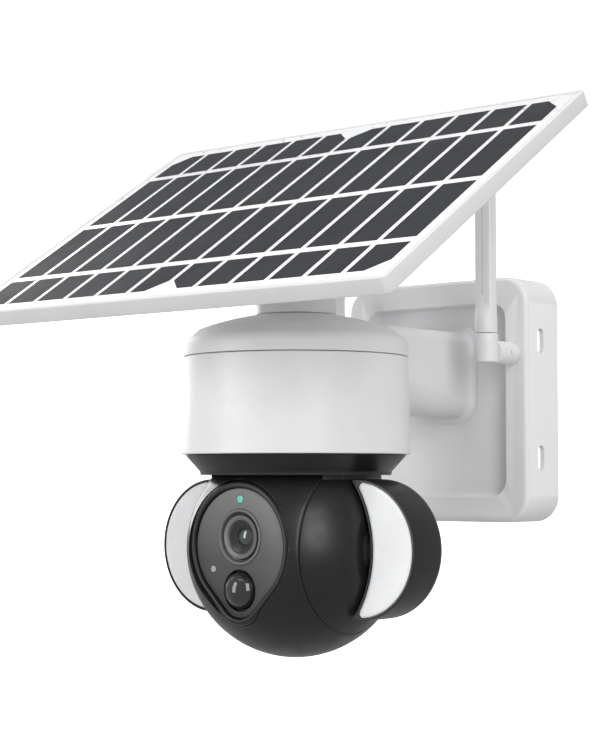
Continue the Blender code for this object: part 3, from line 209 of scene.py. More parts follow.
def metal(name, colour, roughness):
    made, tree, shader = principled(name, colour, roughness, Metallic=1.0)
    streak = noise(tree, 500.0, 3.0, stretch=(1, 1, 12))
    rough = ramp(tree, streak, ((0.3, roughness - 0.08), (0.7, roughness + 0.1)))
    feed(tree, shader, Roughness=rough)
    tone = ramp(tree, noise(tree, 70.0), ((0.3, tuple(c * 0.82 for c in colour)), (0.7, colour)))
    feed(tree, shader, Base_Color=tone)
    bump(tree, shader, streak, 0.2, 0.02 * MM)
    return made


def polished(name, colour, roughness, smudge=0.05, **values):
    """A smooth glossy piece with a breath of dust and smears in its roughness."""
    made, tree, shader = principled(name, colour, roughness, **values)
    rough = ramp(tree, noise(tree, 90.0, 5.0), ((0.4, roughness), (0.75, roughness + smudge)))
    feed(tree, shader, Roughness=rough)
    tone = ramp(tree, noise(tree, 30.0), ((0.3, tuple(c * 0.92 for c in colour)), (0.7, colour)))
    feed(tree, shader, Base_Color=tone)
    bump(tree, shader, noise(tree, 400.0, 2.0), 0.05, 0.01 * MM)
    return made


def face_material():
    """Smoked glossy plate with a painted reflection: its colour runs paler towards its top."""
    made, tree, shader = principled("face_gloss", (0.1, 0.1, 0.1), 0.40, Specular_IOR_Level=0.3,
                                    Coat_Weight=0.12, Coat_Roughness=0.2)
    place = tree.nodes.new("ShaderNodeTexCoord")
    split = tree.nodes.new("ShaderNodeSeparateXYZ")
    tree.links.new(place.outputs["Generated"], split.inputs["Vector"])
    # painted reflection: base colour dark at the bottom, paler at the top
    painted_reflection = ramp(tree, split.outputs["Z"], ((0.0, (0.018, 0.018, 0.020)),
                                           (0.45, (0.052, 0.052, 0.054)),
                                           (1.0, (0.165, 0.165, 0.168))))
    tone = mix(tree, 0.03, painted_reflection, ramp(tree, noise(tree, 900.0), ((0.3, 0.05), (0.7, 0.12))))
    feed(tree, shader, Base_Color=tone)
    rough = ramp(tree, noise(tree, 900.0), ((0.3, 0.38), (0.7, 0.43)))
    feed(tree, shader, Roughness=rough)
    return made


def cell_material():
    """Dark cells with fine printed fingers across them, under the panel's clear sheet."""
    made, tree, shader = principled("solar_cell", (0.03, 0.032, 0.036), 0.5,
                                    Specular_IOR_Level=0.10)
    place = tree.nodes.new("ShaderNodeTexCoord")
    lines = tree.nodes.new("ShaderNodeTexWave")
    lines.bands_direction = "X"
    lines.inputs["Scale"].default_value = 210.0
    tree.links.new(place.outputs["Object"], lines.inputs["Vector"])
    finger = ramp(tree, lines.outputs["Fac"], ((0.90, 0.0), (1.0, 1.0)))
    grain = ramp(tree, noise(tree, 260.0, 5.0), ((0.3, (0.020, 0.021, 0.025)),
                                                 (0.7, (0.028, 0.030, 0.034))))
    faint = mix(tree, 0.12, grain, (0.07, 0.073, 0.08))
    feed(tree, shader, Base_Color=mix(tree, finger, grain, faint))
    rough = ramp(tree, noise(tree, 30.0), ((0.3, 0.45), (0.7, 0.55)))
    feed(tree, shader, Roughness=rough)
    bump(tree, shader, lines.outputs["Fac"], 0.08, 0.01 * MM)
    return made


def diffuser_material():
    made, tree, shader = principled("lamp_opal", (0.76, 0.76, 0.77), 0.38,
                                    Subsurface_Weight=0.25, Subsurface_Scale=0.004)
    tone = ramp(tree, noise(tree, 60.0), ((0.3, (0.72, 0.72, 0.73)), (0.7, (0.78, 0.78, 0.79))))
    feed(tree, shader, Base_Color=tone)
    rough = ramp(tree, noise(tree, 300.0), ((0.3, 0.33), (0.7, 0.45)))
    feed(tree, shader, Roughness=rough)
    bump(tree, shader, noise(tree, 1800.0), 0.15, 0.02 * MM)
    return made


WHITE = moulded("white_moulding", (0.74, 0.74, 0.75), (0.80, 0.80, 0.80), 0.42)
PANEL_WHITE = moulded("panel_white", (0.64, 0.64, 0.64), (0.78, 0.78, 0.78), 0.45)
SHEET = moulded("white_sheet", (0.86, 0.87, 0.88), (0.88, 0.88, 0.88), 0.30, grain=900.0,
                depth=0.01 * MM, Coat_Weight=0.3, Coat_Roughness=0.1)
BLACK = moulded("black_moulding", (0.010, 0.010, 0.011), (0.028, 0.028, 0.029), 0.34,
                depth=0.012 * MM, Specular_IOR_Level=0.35)
STEEL = metal("zinc_plate", (0.58, 0.58, 0.60), 0.34)
RUBBER = moulded("soft_rubber", (0.025, 0.025, 0.025), (0.05, 0.05, 0.05), 0.78, 1200.0)
NYLON = moulded("gear_nylon", (0.72, 0.69, 0.60), (0.78, 0.76, 0.68), 0.48)
BOARD = polished("solder_mask", (0.015, 0.12, 0.05), 0.35, 0.15)
WRAP = polished("cell_wrap", (0.04, 0.16, 0.34), 0.32, 0.12)
FACE = face_material()
LENS_BLACK = polished("lens_black", (0.018, 0.018, 0.018), 0.30, 0.08)
LENS_GREY = polished("lens_grey", (0.10, 0.10, 0.105), 0.32, 0.08)
PIR = polished("pir_black", (0.016, 0.016, 0.017), 0.10, 0.04, Coat_Weight=0.5)
TEAL = polished("status_teal", (0.12, 0.50, 0.40), 0.25, 0.06, Coat_Weight=0.4)
SENSOR = polished("sensor_grey", (0.32, 0.32, 0.33), 0.25, 0.06)
CELLS = cell_material()
OPAL = diffuser_material()
# painted reflection: the glass's base colour is tinted green for the coating's green glints
GLASS = polished("glass_painted_green_glint", (0.010, 0.030, 0.022), 0.04, 0.02, Coat_Weight=1.0,
                 Coat_Roughness=0.02, Specular_IOR_Level=0.8)


# ================================================================== shaping
def cosd(angle):
    return math.cos(math.radians(angle))


def sind(angle):
    return math.sin(math.radians(angle))


def asind(ratio):
    return math.degrees(math.asin(ratio))


def acosd(ratio):
    return math.degrees(math.acos(ratio))


def at(x, y, z):
    return Matrix.Translation((x, y, z))


TURNS = {
    "up": Matrix.Identity(4),
    "front": Matrix.Rotation(math.pi / 2, 4, "X"),
    "right": Matrix.Rotation(math.pi / 2, 4, "Y"),
    "left": Matrix.Rotation(-math.pi / 2, 4, "Y"),
}
PANEL_PLACE = Matrix.Translation(HINGE) @ Matrix.Rotation(PANEL_TILT, 4, "X")
HEAD_PLACE = Matrix.Translation(HEAD)
PAN_PLACE = Matrix.Translation(PAN)
ORIGIN = Matrix.Identity(4)


def linked(name, mesh, place):
    """An object whose mesh already stands at its place."""
    mesh.transform(place)
    made = bpy.data.objects.new(name, mesh)
    bpy.context.scene.collection.objects.link(made)
    return made


def from_bmesh(name, bm, place):
    bmesh.ops.remove_doubles(bm, verts=bm.verts, dist=0.002 * MM)
    bmesh.ops.recalc_face_normals(bm, faces=bm.faces)
    mesh = bpy.data.meshes.new(name)
    bm.to_mesh(mesh)
    bm.free()
    return linked(name, mesh, place)


def loft(name, loops, place=ORIGIN, closed=False):
    """Skin from loop to loop; its ends are capped, or joined where closed."""
    bm = bmesh.new()
    rows = [[bm.verts.new(point) for point in loop] for loop in loops]
    pairs = list(zip(rows, rows[1:])) + ([(rows[-1], rows[0])] if closed else [])
    for near, far in pairs:
        for i in range(len(near)):
            j = (i + 1) % len(near)
            bm.faces.new((near[i], near[j], far[j], far[i]))
    if not closed:
        bm.faces.new(rows[0])
        bm.faces.new(rows[-1])
    return from_bmesh(name, bm, place)


def turned(name, profile, place=ORIGIN, turn="up", steps=144, closed=False):
    """Turn a profile of (radius, height); closed makes a ring of it."""
    bm = bmesh.new()
    rows = []
    for k in range(steps):
        angle = 2 * math.pi * k / steps
        rows.append([bm.verts.new((r * math.cos(angle), r * math.sin(angle), z))
                     for r, z in profile])
    count = len(profile)
    for near, far in zip(rows, rows[1:] + rows[:1]):
        for i in range(count if closed else count - 1):
            j = (i + 1) % count
            bm.faces.new((near[i], far[i], far[j], near[j]))
    bmesh.ops.dissolve_degenerate(bm, dist=0.001 * MM, edges=bm.edges)
    return from_bmesh(name, bm, place @ TURNS[turn])


def arc(centre, radius, start, end, steps):
    """Points on an arc, angles in degrees."""
    return [(centre[0] + radius * cosd(start + (end - start) * i / steps),
             centre[1] + radius * sind(start + (end - start) * i / steps))
            for i in range(steps + 1)]


def softened(points, radius, steps=4):
    """A profile whose inner corners are rounded; its two ends stay."""
    made = [points[0]]
    for before, corner, after in zip(points, points[1:], points[2:]):
        a, b, c = Vector(before), Vector(corner), Vector(after)
        reach = min(radius, (a - b).length * 0.45, (c - b).length * 0.45)
        start, end = b + (a - b).normalized() * reach, b + (c - b).normalized() * reach
        for i in range(steps + 1):
            t = i / steps
            made.append(tuple(start * (1 - t) ** 2 + b * 2 * t * (1 - t) + end * t * t))
    return made + [points[-1]]


def rounded(width, height, corner, steps=10):
    """Outline of a rectangle with round corners, about its middle."""
    points = []
    x, y = width / 2 - corner, height / 2 - corner
    for i, (cx, cy) in enumerate(((x, y), (-x, y), (-x, -y), (x, -y))):
        points += arc((cx, cy), corner, 90 * i, 90 * i + 90, steps)
    return points


def shrinking(width, height, corner, steps=10):
    """A slab's outline: a round-cornered rectangle that an inset makes smaller."""
    return lambda inset: rounded(width - 2 * inset, height - 2 * inset, corner - inset, steps)


def fillet_levels(low, high, low_round, high_round, steps=5):
    """(height, inset) pairs up a slab whose two edges are rounded."""
    levels = []
    if low_round:
        levels += [(low + low_round * (1 - cosd(90 * i / steps)),
                    low_round * (1 - sind(90 * i / steps)))
                   for i in range(steps + 1)]
    else:
        levels.append((low, 0.0))
    if high_round:
        levels += [(high - high_round * (1 - sind(90 * i / steps)),
                    high_round * (1 - cosd(90 * i / steps)))
                   for i in range(steps + 1)]
    else:
        levels.append((high, 0.0))
    return levels


def slab(name, outline, levels, place=ORIGIN, turn="up"):
    """A slab up Z through (height, inset) levels; outline(inset) gives its shape."""
    loops = [[(x, y, height) for x, y in outline(inset)] for height, inset in levels]
    return loft(name, loops, place @ TURNS[turn])


def box(name, width, depth, height, centre, edge=0.3 * MM, place=ORIGIN, turn="up"):
    """A block with all its edges rounded."""
    def outline(inset):
        corner = max(edge - inset, 0.0) + 0.01 * MM
        return rounded(width - 2 * inset, depth - 2 * inset, corner, 4)
    levels = fillet_levels(-height / 2, height / 2, edge, edge, 4)
    return slab(name, outline, levels, place @ Matrix.Translation(centre), turn)


def bar(name, radius, foot, top, place=ORIGIN, turn="up", edge=0.25 * MM, steps=64):
    """A round bar from foot to top along its own axis, its ends rounded."""
    profile = softened([(0.0, foot), (radius, foot), (radius, top), (0.0, top)], edge)
    return turned(name, profile, place, turn, steps)


def lobed(outer, levels, lobes, depth, steps):
    """Loops of a round bar with lobes round it; depth(height) is how deep they are."""
    loops = []
    for height, inset in levels:
        loop = []
        for i in range(steps):
            angle = 2 * math.pi * i / steps
            radius = outer - depth(height) * (1 - math.cos(lobes * angle)) / 2 - inset
            loop.append((radius * math.cos(angle), radius * math.sin(angle), height))
        loops.append(loop)
    return loops


def boolean(target, tool, operation):
    step = target.modifiers.new("Cut", "BOOLEAN")
    step.operation = operation
    step.object = tool
    step.solver = "EXACT"
    bpy.context.view_layer.update()
    evaluated = target.evaluated_get(bpy.context.evaluated_depsgraph_get())
    mesh = bpy.data.meshes.new_from_object(evaluated)
    target.modifiers.clear()
    target.data = mesh
    bpy.data.objects.remove(tool)
    return target


def cut(target, tool):
    return boolean(target, tool, "DIFFERENCE")


def join(target, tool):
    return boolean(target, tool, "UNION")


def keep(target, tool):
    return boolean(target, tool, "INTERSECT")


def ease(target, width=0.3 * MM, segments=2, angle=32):
    """Round the creases that cutting left."""
    step = target.modifiers.new("Ease", "BEVEL")
    step.width = width
    step.segments = segments
    step.limit_method = "ANGLE"
    step.angle_limit = math.radians(angle)
    step.use_clamp_overlap = True
    step.harden_normals = False
    return target


def dress(made, body, finish_material, nodes=(), sharp=32):
    """Give a piece its finish and its place on a body."""
    mesh = made.data
    mesh.materials.clear()
    mesh.materials.append(finish_material)
    mesh.polygons.foreach_set("material_index", [0] * len(mesh.polygons))
    mesh.shade_smooth()
    mesh.set_sharp_from_angle(angle=math.radians(sharp))
    mesh.update()
    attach(made, body)
    if nodes:
        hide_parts(*nodes)
    return made


# ================================================================== bracket
def capsule(length, width, steps=10):
    return rounded(length, width, width / 2 * 0.999, steps)


def make_bracket():
    low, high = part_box("bracket_shell")
    width, height, depth = high.x - low.x, high.z - low.z, high.y - low.y
    corner, recess_corner, rim = 13.0 * MM, 8.0 * MM, 0.9 * MM

    shell = slab("wall_bracket", shrinking(width, height, corner, 16),
                 fillet_levels(0, depth, 0.6 * MM, 2.5 * MM, 8), turn="front")
    floor = depth - RECESS_DEPTH
    recess = shrinking(width - 2 * BORDER, height - 2 * BORDER, recess_corner, 12)
    levels = fillet_levels(floor, depth - rim, 1.6 * MM, 0)
    levels += [(depth - rim + rim * sind(a),
                -rim * (1 - cosd(a))) for a in (22, 45, 67, 90)]
    levels.append((depth + 1 * MM, -rim))
    cut(shell, slab("recess", recess, levels, turn="front"))
    hollow = shrinking(width - 2 * WALL, height - 2 * WALL, corner - WALL, 8)
    cut(shell, slab("hollow", hollow, [(-1 * MM, 0), (floor - WALL, 0)], turn="front"))
    for _, side in SIDES:
        for rise in (-SLOT_RISE, SLOT_RISE):
            place = at(side * (width / 2 - 2 * WALL), -SLOT_SETBACK, rise)
            slot = slab("slot", lambda inset: capsule(SLOT[0], SLOT[1]),
                        [(0, 0), (3 * WALL, 0)], place, "right" if side > 0 else "left")
            cut(shell, slot)
    ease(shell, 0.35 * MM, 2)
    dress(shell, "housing", WHITE, ["bracket_shell"])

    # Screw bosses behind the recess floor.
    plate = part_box("wall_plate")[1]
    bore, boss_radius, foot, screw_inset = 1.8 * MM, 4 * MM, 3.3 * MM, 7 * MM
    for name, x, z in (("upper", -1, 1), ("lower", 1, -1)):
        place = at(x * (plate.x - screw_inset), 0, z * (plate.z - screw_inset))
        profile = softened([(bore, foot), (boss_radius, foot), (boss_radius, floor - WALL),
                            (bore, floor - WALL)], 0.3 * MM)
        boss = turned("bracket_boss_" + name, profile, place, "front", 40, closed=True)
        dress(boss, "housing", WHITE)


def make_arm():
    """The arm flares where it meets the recess floor and is scooped to the housing."""
    half, top, bottom = 17.0 * MM, 33.5 * MM, -7.5 * MM
    top_radius, root_round, tip_round = 6 * MM, 8 * MM, 16.5 * MM
    root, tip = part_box("support_arm")[1].y, PAN.y + HOUSING_RADIUS * 0.7
    flare = 3.0 * MM
    loops = []
    stations = [(i / 8 * flare, flare * (1 - math.sin(math.acos(1 - i / 8)))) for i in range(9)]
    stations += [(flare + (root - tip - flare) * i / 24, 0.0) for i in range(1, 25)]
    for run, grow in stations:
        share = min(1.0, run / (0.55 * (root - tip)))
        eased = share * share * (3 - 2 * share)
        low_radius = root_round + (tip_round - root_round) * eased + grow
        wide, up, down = half + grow, top + grow, bottom - grow
        outline = arc((wide - top_radius, up - top_radius), top_radius, 0, 90, 12)
        outline += arc((-wide + top_radius, up - top_radius), top_radius, 90, 180, 12)
        outline += arc((-wide + low_radius, down + low_radius), low_radius, 180, 270, 16)
        outline += arc((wide - low_radius, down + low_radius), low_radius, 270, 360, 16)
        loops.append([(x, root - run, z) for x, z in outline])
    arm = loft("bracket_arm", loops)
    cut(arm, bar("housing_clear", 51.3 * MM, -90 * MM, 90 * MM, PAN_PLACE, edge=0, steps=240))
    dress(arm, "housing", WHITE, ["support_arm"])


# ================================================================== housing
def dome_height(radius):
    return DOME_TOP - (DOME_RADIUS - math.sqrt(DOME_RADIUS ** 2 - radius ** 2))


def make_housing():
    foot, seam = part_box("pan_housing")[0].z, HOUSING_SEAM - SEAM_HALF
    outer, inner = 51.0 * MM, HOUSING_RADIUS - WALL
    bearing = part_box("pan_bearing")[1].x + GAP
    floor_top = foot + 2.6 * MM
    profile = softened([(inner, seam), (HOUSING_RADIUS, seam), (outer, foot), (bearing, foot),
                        (bearing, floor_top), (outer - WALL, floor_top),
                        (inner, seam)], 0.7 * MM, 5)
    shell = turned("housing_body", profile[:-1], PAN_PLACE, steps=256, closed=True)
    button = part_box("power_button")
    rise = (button[0].z + button[1].z) / 2
    cut(shell, bar("button_hole", 4.3 * MM, 40 * MM, 60 * MM,
                   at(0, PAN.y, rise), "left", 0, 48))
    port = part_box("port_cover")
    middle = (port[0] + port[1]) / 2
    cut(shell, box("port_hole", 12.6 * MM, 7.6 * MM, 20 * MM, (0, 0, 0), 1.3 * MM,
                   at(-50 * MM, middle.y, middle.z)
                   @ Matrix.Rotation(math.pi / 2, 4, "Z") @ Matrix.Rotation(math.pi / 2, 4, "X")))
    dress(shell, "housing", WHITE, ["pan_housing"])

    shoulder = (HOUSING_RADIUS - CAP_SHOULDER, dome_height(HOUSING_RADIUS) - CAP_SHOULDER)
    seam, dome_edge, bore, lip = HOUSING_SEAM + SEAM_HALF, 43.5 * MM, 6 * MM, 0.5 * MM
    outer = [(CAP_SEAT * i / 4, dome_height(CAP_SEAT)) for i in (2, 3)]
    radii = [CAP_SEAT + (dome_edge - CAP_SEAT) * i / 20 for i in range(21)]
    outer += [(radius, dome_height(radius)) for radius in radii]
    outer += arc(shoulder, CAP_SHOULDER, 70, 0, 12)
    outer += [(HOUSING_RADIUS, seam + lip), (HOUSING_RADIUS - 0.15 * MM, seam + 0.12 * MM),
              (HOUSING_RADIUS - lip, seam)]
    under = [(inner, seam), (inner, shoulder[1])]
    under += [(radius, dome_height(radius) - WALL) for radius in (43 * MM, 32 * MM, CAP_SEAT)]
    under += [(bore, dome_height(CAP_SEAT) - WALL), (bore, dome_height(CAP_SEAT))]
    cap = turned("housing_cap", outer + under, PAN_PLACE, steps=256, closed=True)
    dress(cap, "housing", WHITE, ["top_cap"])


def make_button_and_port():
    low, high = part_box("power_button")
    rise, radius = (low.z + high.z) / 2, 4.0 * MM
    out, shoulder = -low.x, -low.x - 3.7 * MM
    profile = [(0.0, out - 0.5 * MM), (1.6 * MM, out - 0.42 * MM), (2.6 * MM, out - 0.1 * MM)]
    profile += softened([(2.9 * MM, out), (radius, out), (radius, shoulder),
                         (radius + 1.5 * MM, shoulder), (radius + 1.5 * MM, -high.x),
                         (0.0, -high.x)], 0.4 * MM)
    button = turned("power_key", profile, at(0, PAN.y, rise), "left", 72)
    dress(button, "power_button", BLACK, ["power_button"])

    low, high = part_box("port_cover")
    centre, size = (low + high) / 2, high - low
    turn = Matrix.Translation(centre) @ Matrix.Rotation(-math.pi / 2, 4, "Y")
    levels = fillet_levels(-size.x / 2, size.x / 2, 0.4 * MM, 0.5 * MM, 4)
    cover = slab("port_flap", shrinking(size.z, size.y, 2.2 * MM, 8), levels, turn)
    grip = slab("grip", lambda inset: rounded(1.6 * MM, 6.0 * MM, 0.75 * MM, 6),
                [(size.x / 2 - 0.3 * MM, 0), (size.x, 0)],
                turn @ at(1.4 * MM, 0, 0))
    cut(cover, grip)
    dress(cover, "housing", RUBBER, ["port_cover"])


# ==================================================================== panel
def make_turntable():
    low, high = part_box("panel_turntable")
    rise = HINGE.z
    ear, ear_half, lug_half = 7.5 * MM, 11.0 * MM, 6.0 * MM
    top = rise - 4.8 * MM
    neck = bar("panel_neck", high.x, low.z, top, PAN_PLACE, edge=0.9 * MM, steps=160)
    ears = box("ears", 2 * ear_half, 2 * ear, 10 * MM, (0, PAN.y, top + 2 * MM), 0.4 * MM)
    join(neck, ears)
    place = at(0, PAN.y, rise)
    join(neck, bar("ear", ear, -ear_half, ear_half, place, "right", 0.4 * MM, 80))
    cut(neck, box("slot", 2 * lug_half, 60 * MM, 30 * MM, (0, PAN.y, rise + 8.5 * MM), 0.3 * MM))
    cut(neck, bar("bore", BOLT_BORE, -20 * MM, 20 * MM, place, "right", 0, 40))
    ease(neck, 0.35 * MM, 2)
    dress(neck, "panel_mount", WHITE, ["panel_turntable"])

    low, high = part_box("tilt_bolt")
    grip, head = high.z - rise, ear_half + GAP
    profile = [(0.0, high.x - 0.7 * MM), (2.0 * MM, high.x - 0.7 * MM), (2.3 * MM, high.x)]
    profile += softened([(2.5 * MM, high.x), (grip, high.x), (grip, head), (2.0 * MM, head),
                         (2.0 * MM, low.x), (0.0, low.x)], 0.4 * MM)
    bolt = turned("hinge_bolt", profile, place, "right", 64)
    dress(bolt, "panel_mount", STEEL, ["tilt_bolt"])

    low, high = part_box("tilt_knob")
    levels = fillet_levels(low.x, high.x, 0.8 * MM, 0.4 * MM)
    loops = lobed(grip, levels, 9, lambda _: 0.35 * MM, 144)
    knob = loft("hinge_knob", loops, place @ TURNS["right"])
    cut(knob, bar("bore", BOLT_BORE, low.x + 1.2 * MM, 0, place, "right", 0, 40))
    dress(knob, "panel_mount", BLACK, ["tilt_knob"])


def panel_outline(inset):
    length, width = PANEL_SIZE
    return rounded(length - 2 * inset, width - 2 * inset, max(3 * MM - inset, 0.5 * MM), 8)


def make_panel():
    top = PANEL_RISE + LIP_HEIGHT
    foot = top - PANEL_THICK
    seat = PANEL_RISE - 3.3 * MM
    edge, small, cover_thick = 0.9 * MM, 0.3 * MM, 1.6 * MM
    ledge = LIP_WIDTH + 3.0 * MM
    section = [(inset, height) for height, inset in fillet_levels(foot, top, 0.7 * MM, edge, 5)]
    section += [(LIP_WIDTH - small + small * sind(a),
                 top - small * (1 - cosd(a))) for a in (0, 30, 60, 90)]
    section += [(LIP_WIDTH, seat), (ledge, seat), (ledge, foot + cover_thick),
                (LIP_WIDTH, foot + cover_thick), (LIP_WIDTH, foot)]
    loops = [[(x, y, height) for x, y in panel_outline(inset)] for inset, height in section]
    rim = loft("panel_rim", loops, PANEL_PLACE, closed=True)
    dress(rim, "panel", PANEL_WHITE, ["panel_frame"])

    gap = LIP_WIDTH + GAP / 2
    sheet = slab("panel_sheet", lambda inset: panel_outline(gap + inset),
                 fillet_levels(PANEL_RISE - 3 * MM, PANEL_RISE - CELL_THICK / 2, 0, 0.1 * MM, 2),
                 PANEL_PLACE)
    dress(sheet, "panel", SHEET, ["solar_laminate"])
    cells = make_cells()
    dress(cells, "panel", CELLS)

    cover = slab("panel_back", lambda inset: panel_outline(gap + inset),
                 fillet_levels(foot, foot + cover_thick, 0.3 * MM, 0, 4), PANEL_PLACE)
    recess = slab("recess", lambda inset: rounded(205 * MM, 140 * MM, 6 * MM, 8),
                  [(foot - 1 * MM, 0), (foot + 0.6 * MM, 0)], PANEL_PLACE)
    cut(recess, slab("pad", lambda inset: rounded(54 * MM, 54 * MM, 7 * MM, 8),
                     [(foot - 2 * MM, 0), (foot + 2 * MM, 0)], PANEL_PLACE))
    cut(cover, recess)
    ease(cover, 0.25 * MM, 2)
    dress(cover, "panel", WHITE, ["panel_back_cover"])

    brace_top, plate_side, plate_thick = foot - GAP, 46 * MM, 3 * MM
    screw_place = 17 * MM
    plate = slab("panel_bracket", shrinking(plate_side, plate_side, 5 * MM),
                 fillet_levels(brace_top - plate_thick, brace_top, 0.8 * MM, 0.2 * MM), PANEL_PLACE)
    post = box("post", 11.4 * MM, 12 * MM, brace_top - 2 * MM,
               (0, 0, (brace_top - 2 * MM) / 2), 0.4 * MM, PANEL_PLACE)
    join(post, bar("lug", 6 * MM, -5.7 * MM, 5.7 * MM, PANEL_PLACE, "right", 0.4 * MM, 72))
    join(plate, post)
    for turn in (0, math.pi / 2):
        rib = box("rib", 3 * MM, 38 * MM, 6 * MM, (0, 0, brace_top - 5 * MM), 0.4 * MM,
                  PANEL_PLACE @ Matrix.Rotation(turn, 4, "Z"))
        join(plate, rib)
    cut(plate, bar("bore", BOLT_BORE, -10 * MM, 10 * MM, PANEL_PLACE, "right", 0, 40))
    ease(plate, 0.4 * MM, 2)
    dress(plate, "panel", WHITE, ["panel_brace"])
    for i, (x, y) in enumerate(((1, 1), (-1, 1), (-1, -1), (1, -1))):
        place = PANEL_PLACE @ at(x * screw_place, y * screw_place, brace_top - plate_thick)
        head = cross_screw("panel_screw_%d" % (i + 1), 2.6 * MM, 1.2 * MM, place)
        dress(head, "panel", STEEL)


def cross_screw(name, radius, thick, place):
    """A pan head that hangs below its place, with a cross recess."""
    profile = [(0.0, -thick), (radius * 0.55, -thick), (radius * 0.9, -thick * 0.7),
               (radius, -thick * 0.3), (radius, 0.2 * MM), (0.0, 0.2 * MM)]
    head = turned(name, softened(profile, 0.3 * MM), place, steps=40)
    for turn in (math.pi / 4, -math.pi / 4):
        cut(head, box("cross", radius * 1.1, 0.5 * MM, thick, (0, 0, -thick), 0.05 * MM,
                      place @ Matrix.Rotation(turn, 4, "Z")))
    return head


def make_cells():
    """Four rows of twelve strips; the outer rows have chamfered ends in groups of six."""
    bm = bmesh.new()
    strip = STRIP_PITCH - STRIP_GAP
    length = STRIPS * STRIP_PITCH - STRIP_GAP
    height = sum(ROW_HEIGHTS) + ROW_GAP * (len(ROW_HEIGHTS) - 1)
    low = -height / 2
    for row, row_height in enumerate(ROW_HEIGHTS):
        for column in range(STRIPS):
            left = -length / 2 + column * STRIP_PITCH
            right, top = left + strip, low + row_height
            corners = [(left, low), (right, low), (right, top), (left, top)]
            first = column % STRIP_GROUP == 0
            last = column % STRIP_GROUP == STRIP_GROUP - 1
            chamfered = {(0, True, False): 0, (0, False, True): 1, (3, False, True): 2,
                         (3, True, False): 3}.get((row, first, last))
            outline = []
            for k, (x, y) in enumerate(corners):
                if k != chamfered:
                    outline.append((x, y))
                    continue
                inward_x = CELL_CHAMFER if k in (0, 3) else -CELL_CHAMFER
                inward_y = CELL_CHAMFER if k in (0, 1) else -CELL_CHAMFER
                ends = [(x, y + inward_y), (x + inward_x, y)]
                outline += ends if k in (0, 2) else ends[::-1]
            lower = [bm.verts.new((x, y, PANEL_RISE - 3 * CELL_THICK)) for x, y in outline]
            upper = [bm.verts.new((x, y, PANEL_RISE)) for x, y in outline]
            bm.faces.new(lower[::-1])
            bm.faces.new(upper)
            for i in range(len(outline)):
                j = (i + 1) % len(outline)
                bm.faces.new((lower[i], lower[j], upper[j], upper[i]))
        low += row_height + ROW_GAP
    return from_bmesh("solar_cells", bm, PANEL_PLACE)


# ================================================================== aerials
BLADE_HALF = 3.05 * MM         # half the blade's thickness


def whip_section(share):
    """From a round foot (0) to the flat blade (1)."""
    half_width, radius, steps = 4.35 * MM, 5.2 * MM, 96
    points = []
    for i in range(steps):
        angle = 2 * math.pi * (i + 0.5) / steps
        c, s = math.cos(angle), math.sin(angle)
        reach = ((abs(c) / half_width) ** 9 + (abs(s) / BLADE_HALF) ** 9) ** (-1 / 9)
        reach = radius * (1 - share) + reach * share
        points.append((reach * c, reach * s))
    return points


def make_aerial(side_name):
    body = "aerial_" + side_name
    low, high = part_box("aerial_socket_" + side_name)
    place = at((low.x + high.x) / 2, 0, (low.z + high.z) / 2)
    outer, foot, top = (high.z - low.z) / 2, -high.y, -low.y
    margin = 0.5 * MM

    def rib_depth(height):
        return (0.28 if foot + margin < height < top - margin else 0.14) * MM

    levels = fillet_levels(foot, top, 0.3 * MM, 0.8 * MM, 3)
    loops = lobed(outer, levels, 36, rib_depth, 288)
    socket = loft("aerial_nut_" + side_name, loops, place @ TURNS["front"])
    dot = bar("dot", 0.7 * MM, outer - 1.2 * MM, outer + 1 * MM,
              place @ at(0, (low.y + high.y) / 2, 0), "right", 0, 24)
    cut(socket, dot)
    dress(socket, "housing", WHITE, ["aerial_socket_" + side_name])

    low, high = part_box("aerial_barrel_" + side_name)
    axis = at((low.x + high.x) / 2, (low.y + high.y) / 2, 0)
    radius = (high.x - low.x) / 2
    profile = softened([(0.0, low.z), (radius, low.z), (radius, high.z), (0.0, high.z)],
                       0.45 * MM)
    barrel = turned("aerial_knuckle_" + side_name, profile, axis, steps=96)
    dress(barrel, body, WHITE, ["aerial_barrel_" + side_name])

    low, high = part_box("aerial_whip_" + side_name)
    shoulder, blade = 37.6 * MM, 44.8 * MM       # where the round foot becomes the blade
    groove_length, tip_round = 50 * MM, 2 * MM
    loops = []
    for height, shrink in ((low.z, 0.93), (low.z + 0.12 * MM, 0.98),
                           (low.z + 0.4 * MM, 1.0), (shoulder, 1.0)):
        loops.append([(x * shrink, y * shrink, height) for x, y in whip_section(0)])
    for i in range(1, 9):
        loops.append([(x, y, shoulder + (blade - shoulder) * i / 8)
                      for x, y in whip_section(i / 8)])
    for i in range(7):
        angle = math.radians(90 * i / 6)
        shrink = 1 - 0.35 * (1 - math.cos(angle))
        loops.append([(x * shrink, y * shrink, high.z - tip_round * (1 - math.sin(angle)))
                      for x, y in whip_section(1)])
    whip = loft("aerial_blade_" + side_name, loops, axis)
    groove = box("groove", 0.7 * MM, 1.2 * MM, groove_length,
                 (0, -BLADE_HALF, blade + 3 * MM + groove_length / 2), 0.25 * MM, axis)
    cut(whip, groove)
    dress(whip, body, WHITE, ["aerial_whip_" + side_name], 24)


# ===================================================================== head
CHEEK_INNER = BALL_HALF + GAP
BUSH_OUTER = HUB_RADIUS + GAP + 2.1 * MM


def sphere_height(radius, across):
    return math.sqrt(radius ** 2 - across ** 2)


def ball_cut(name, radius, place=HEAD_PLACE, turn="up", steps=180):
    points = arc((0, 0), radius, -90, 90, 90)
    points[0], points[-1] = (0.0, -radius), (0.0, radius)
    return turned(name, points, place, turn, steps)


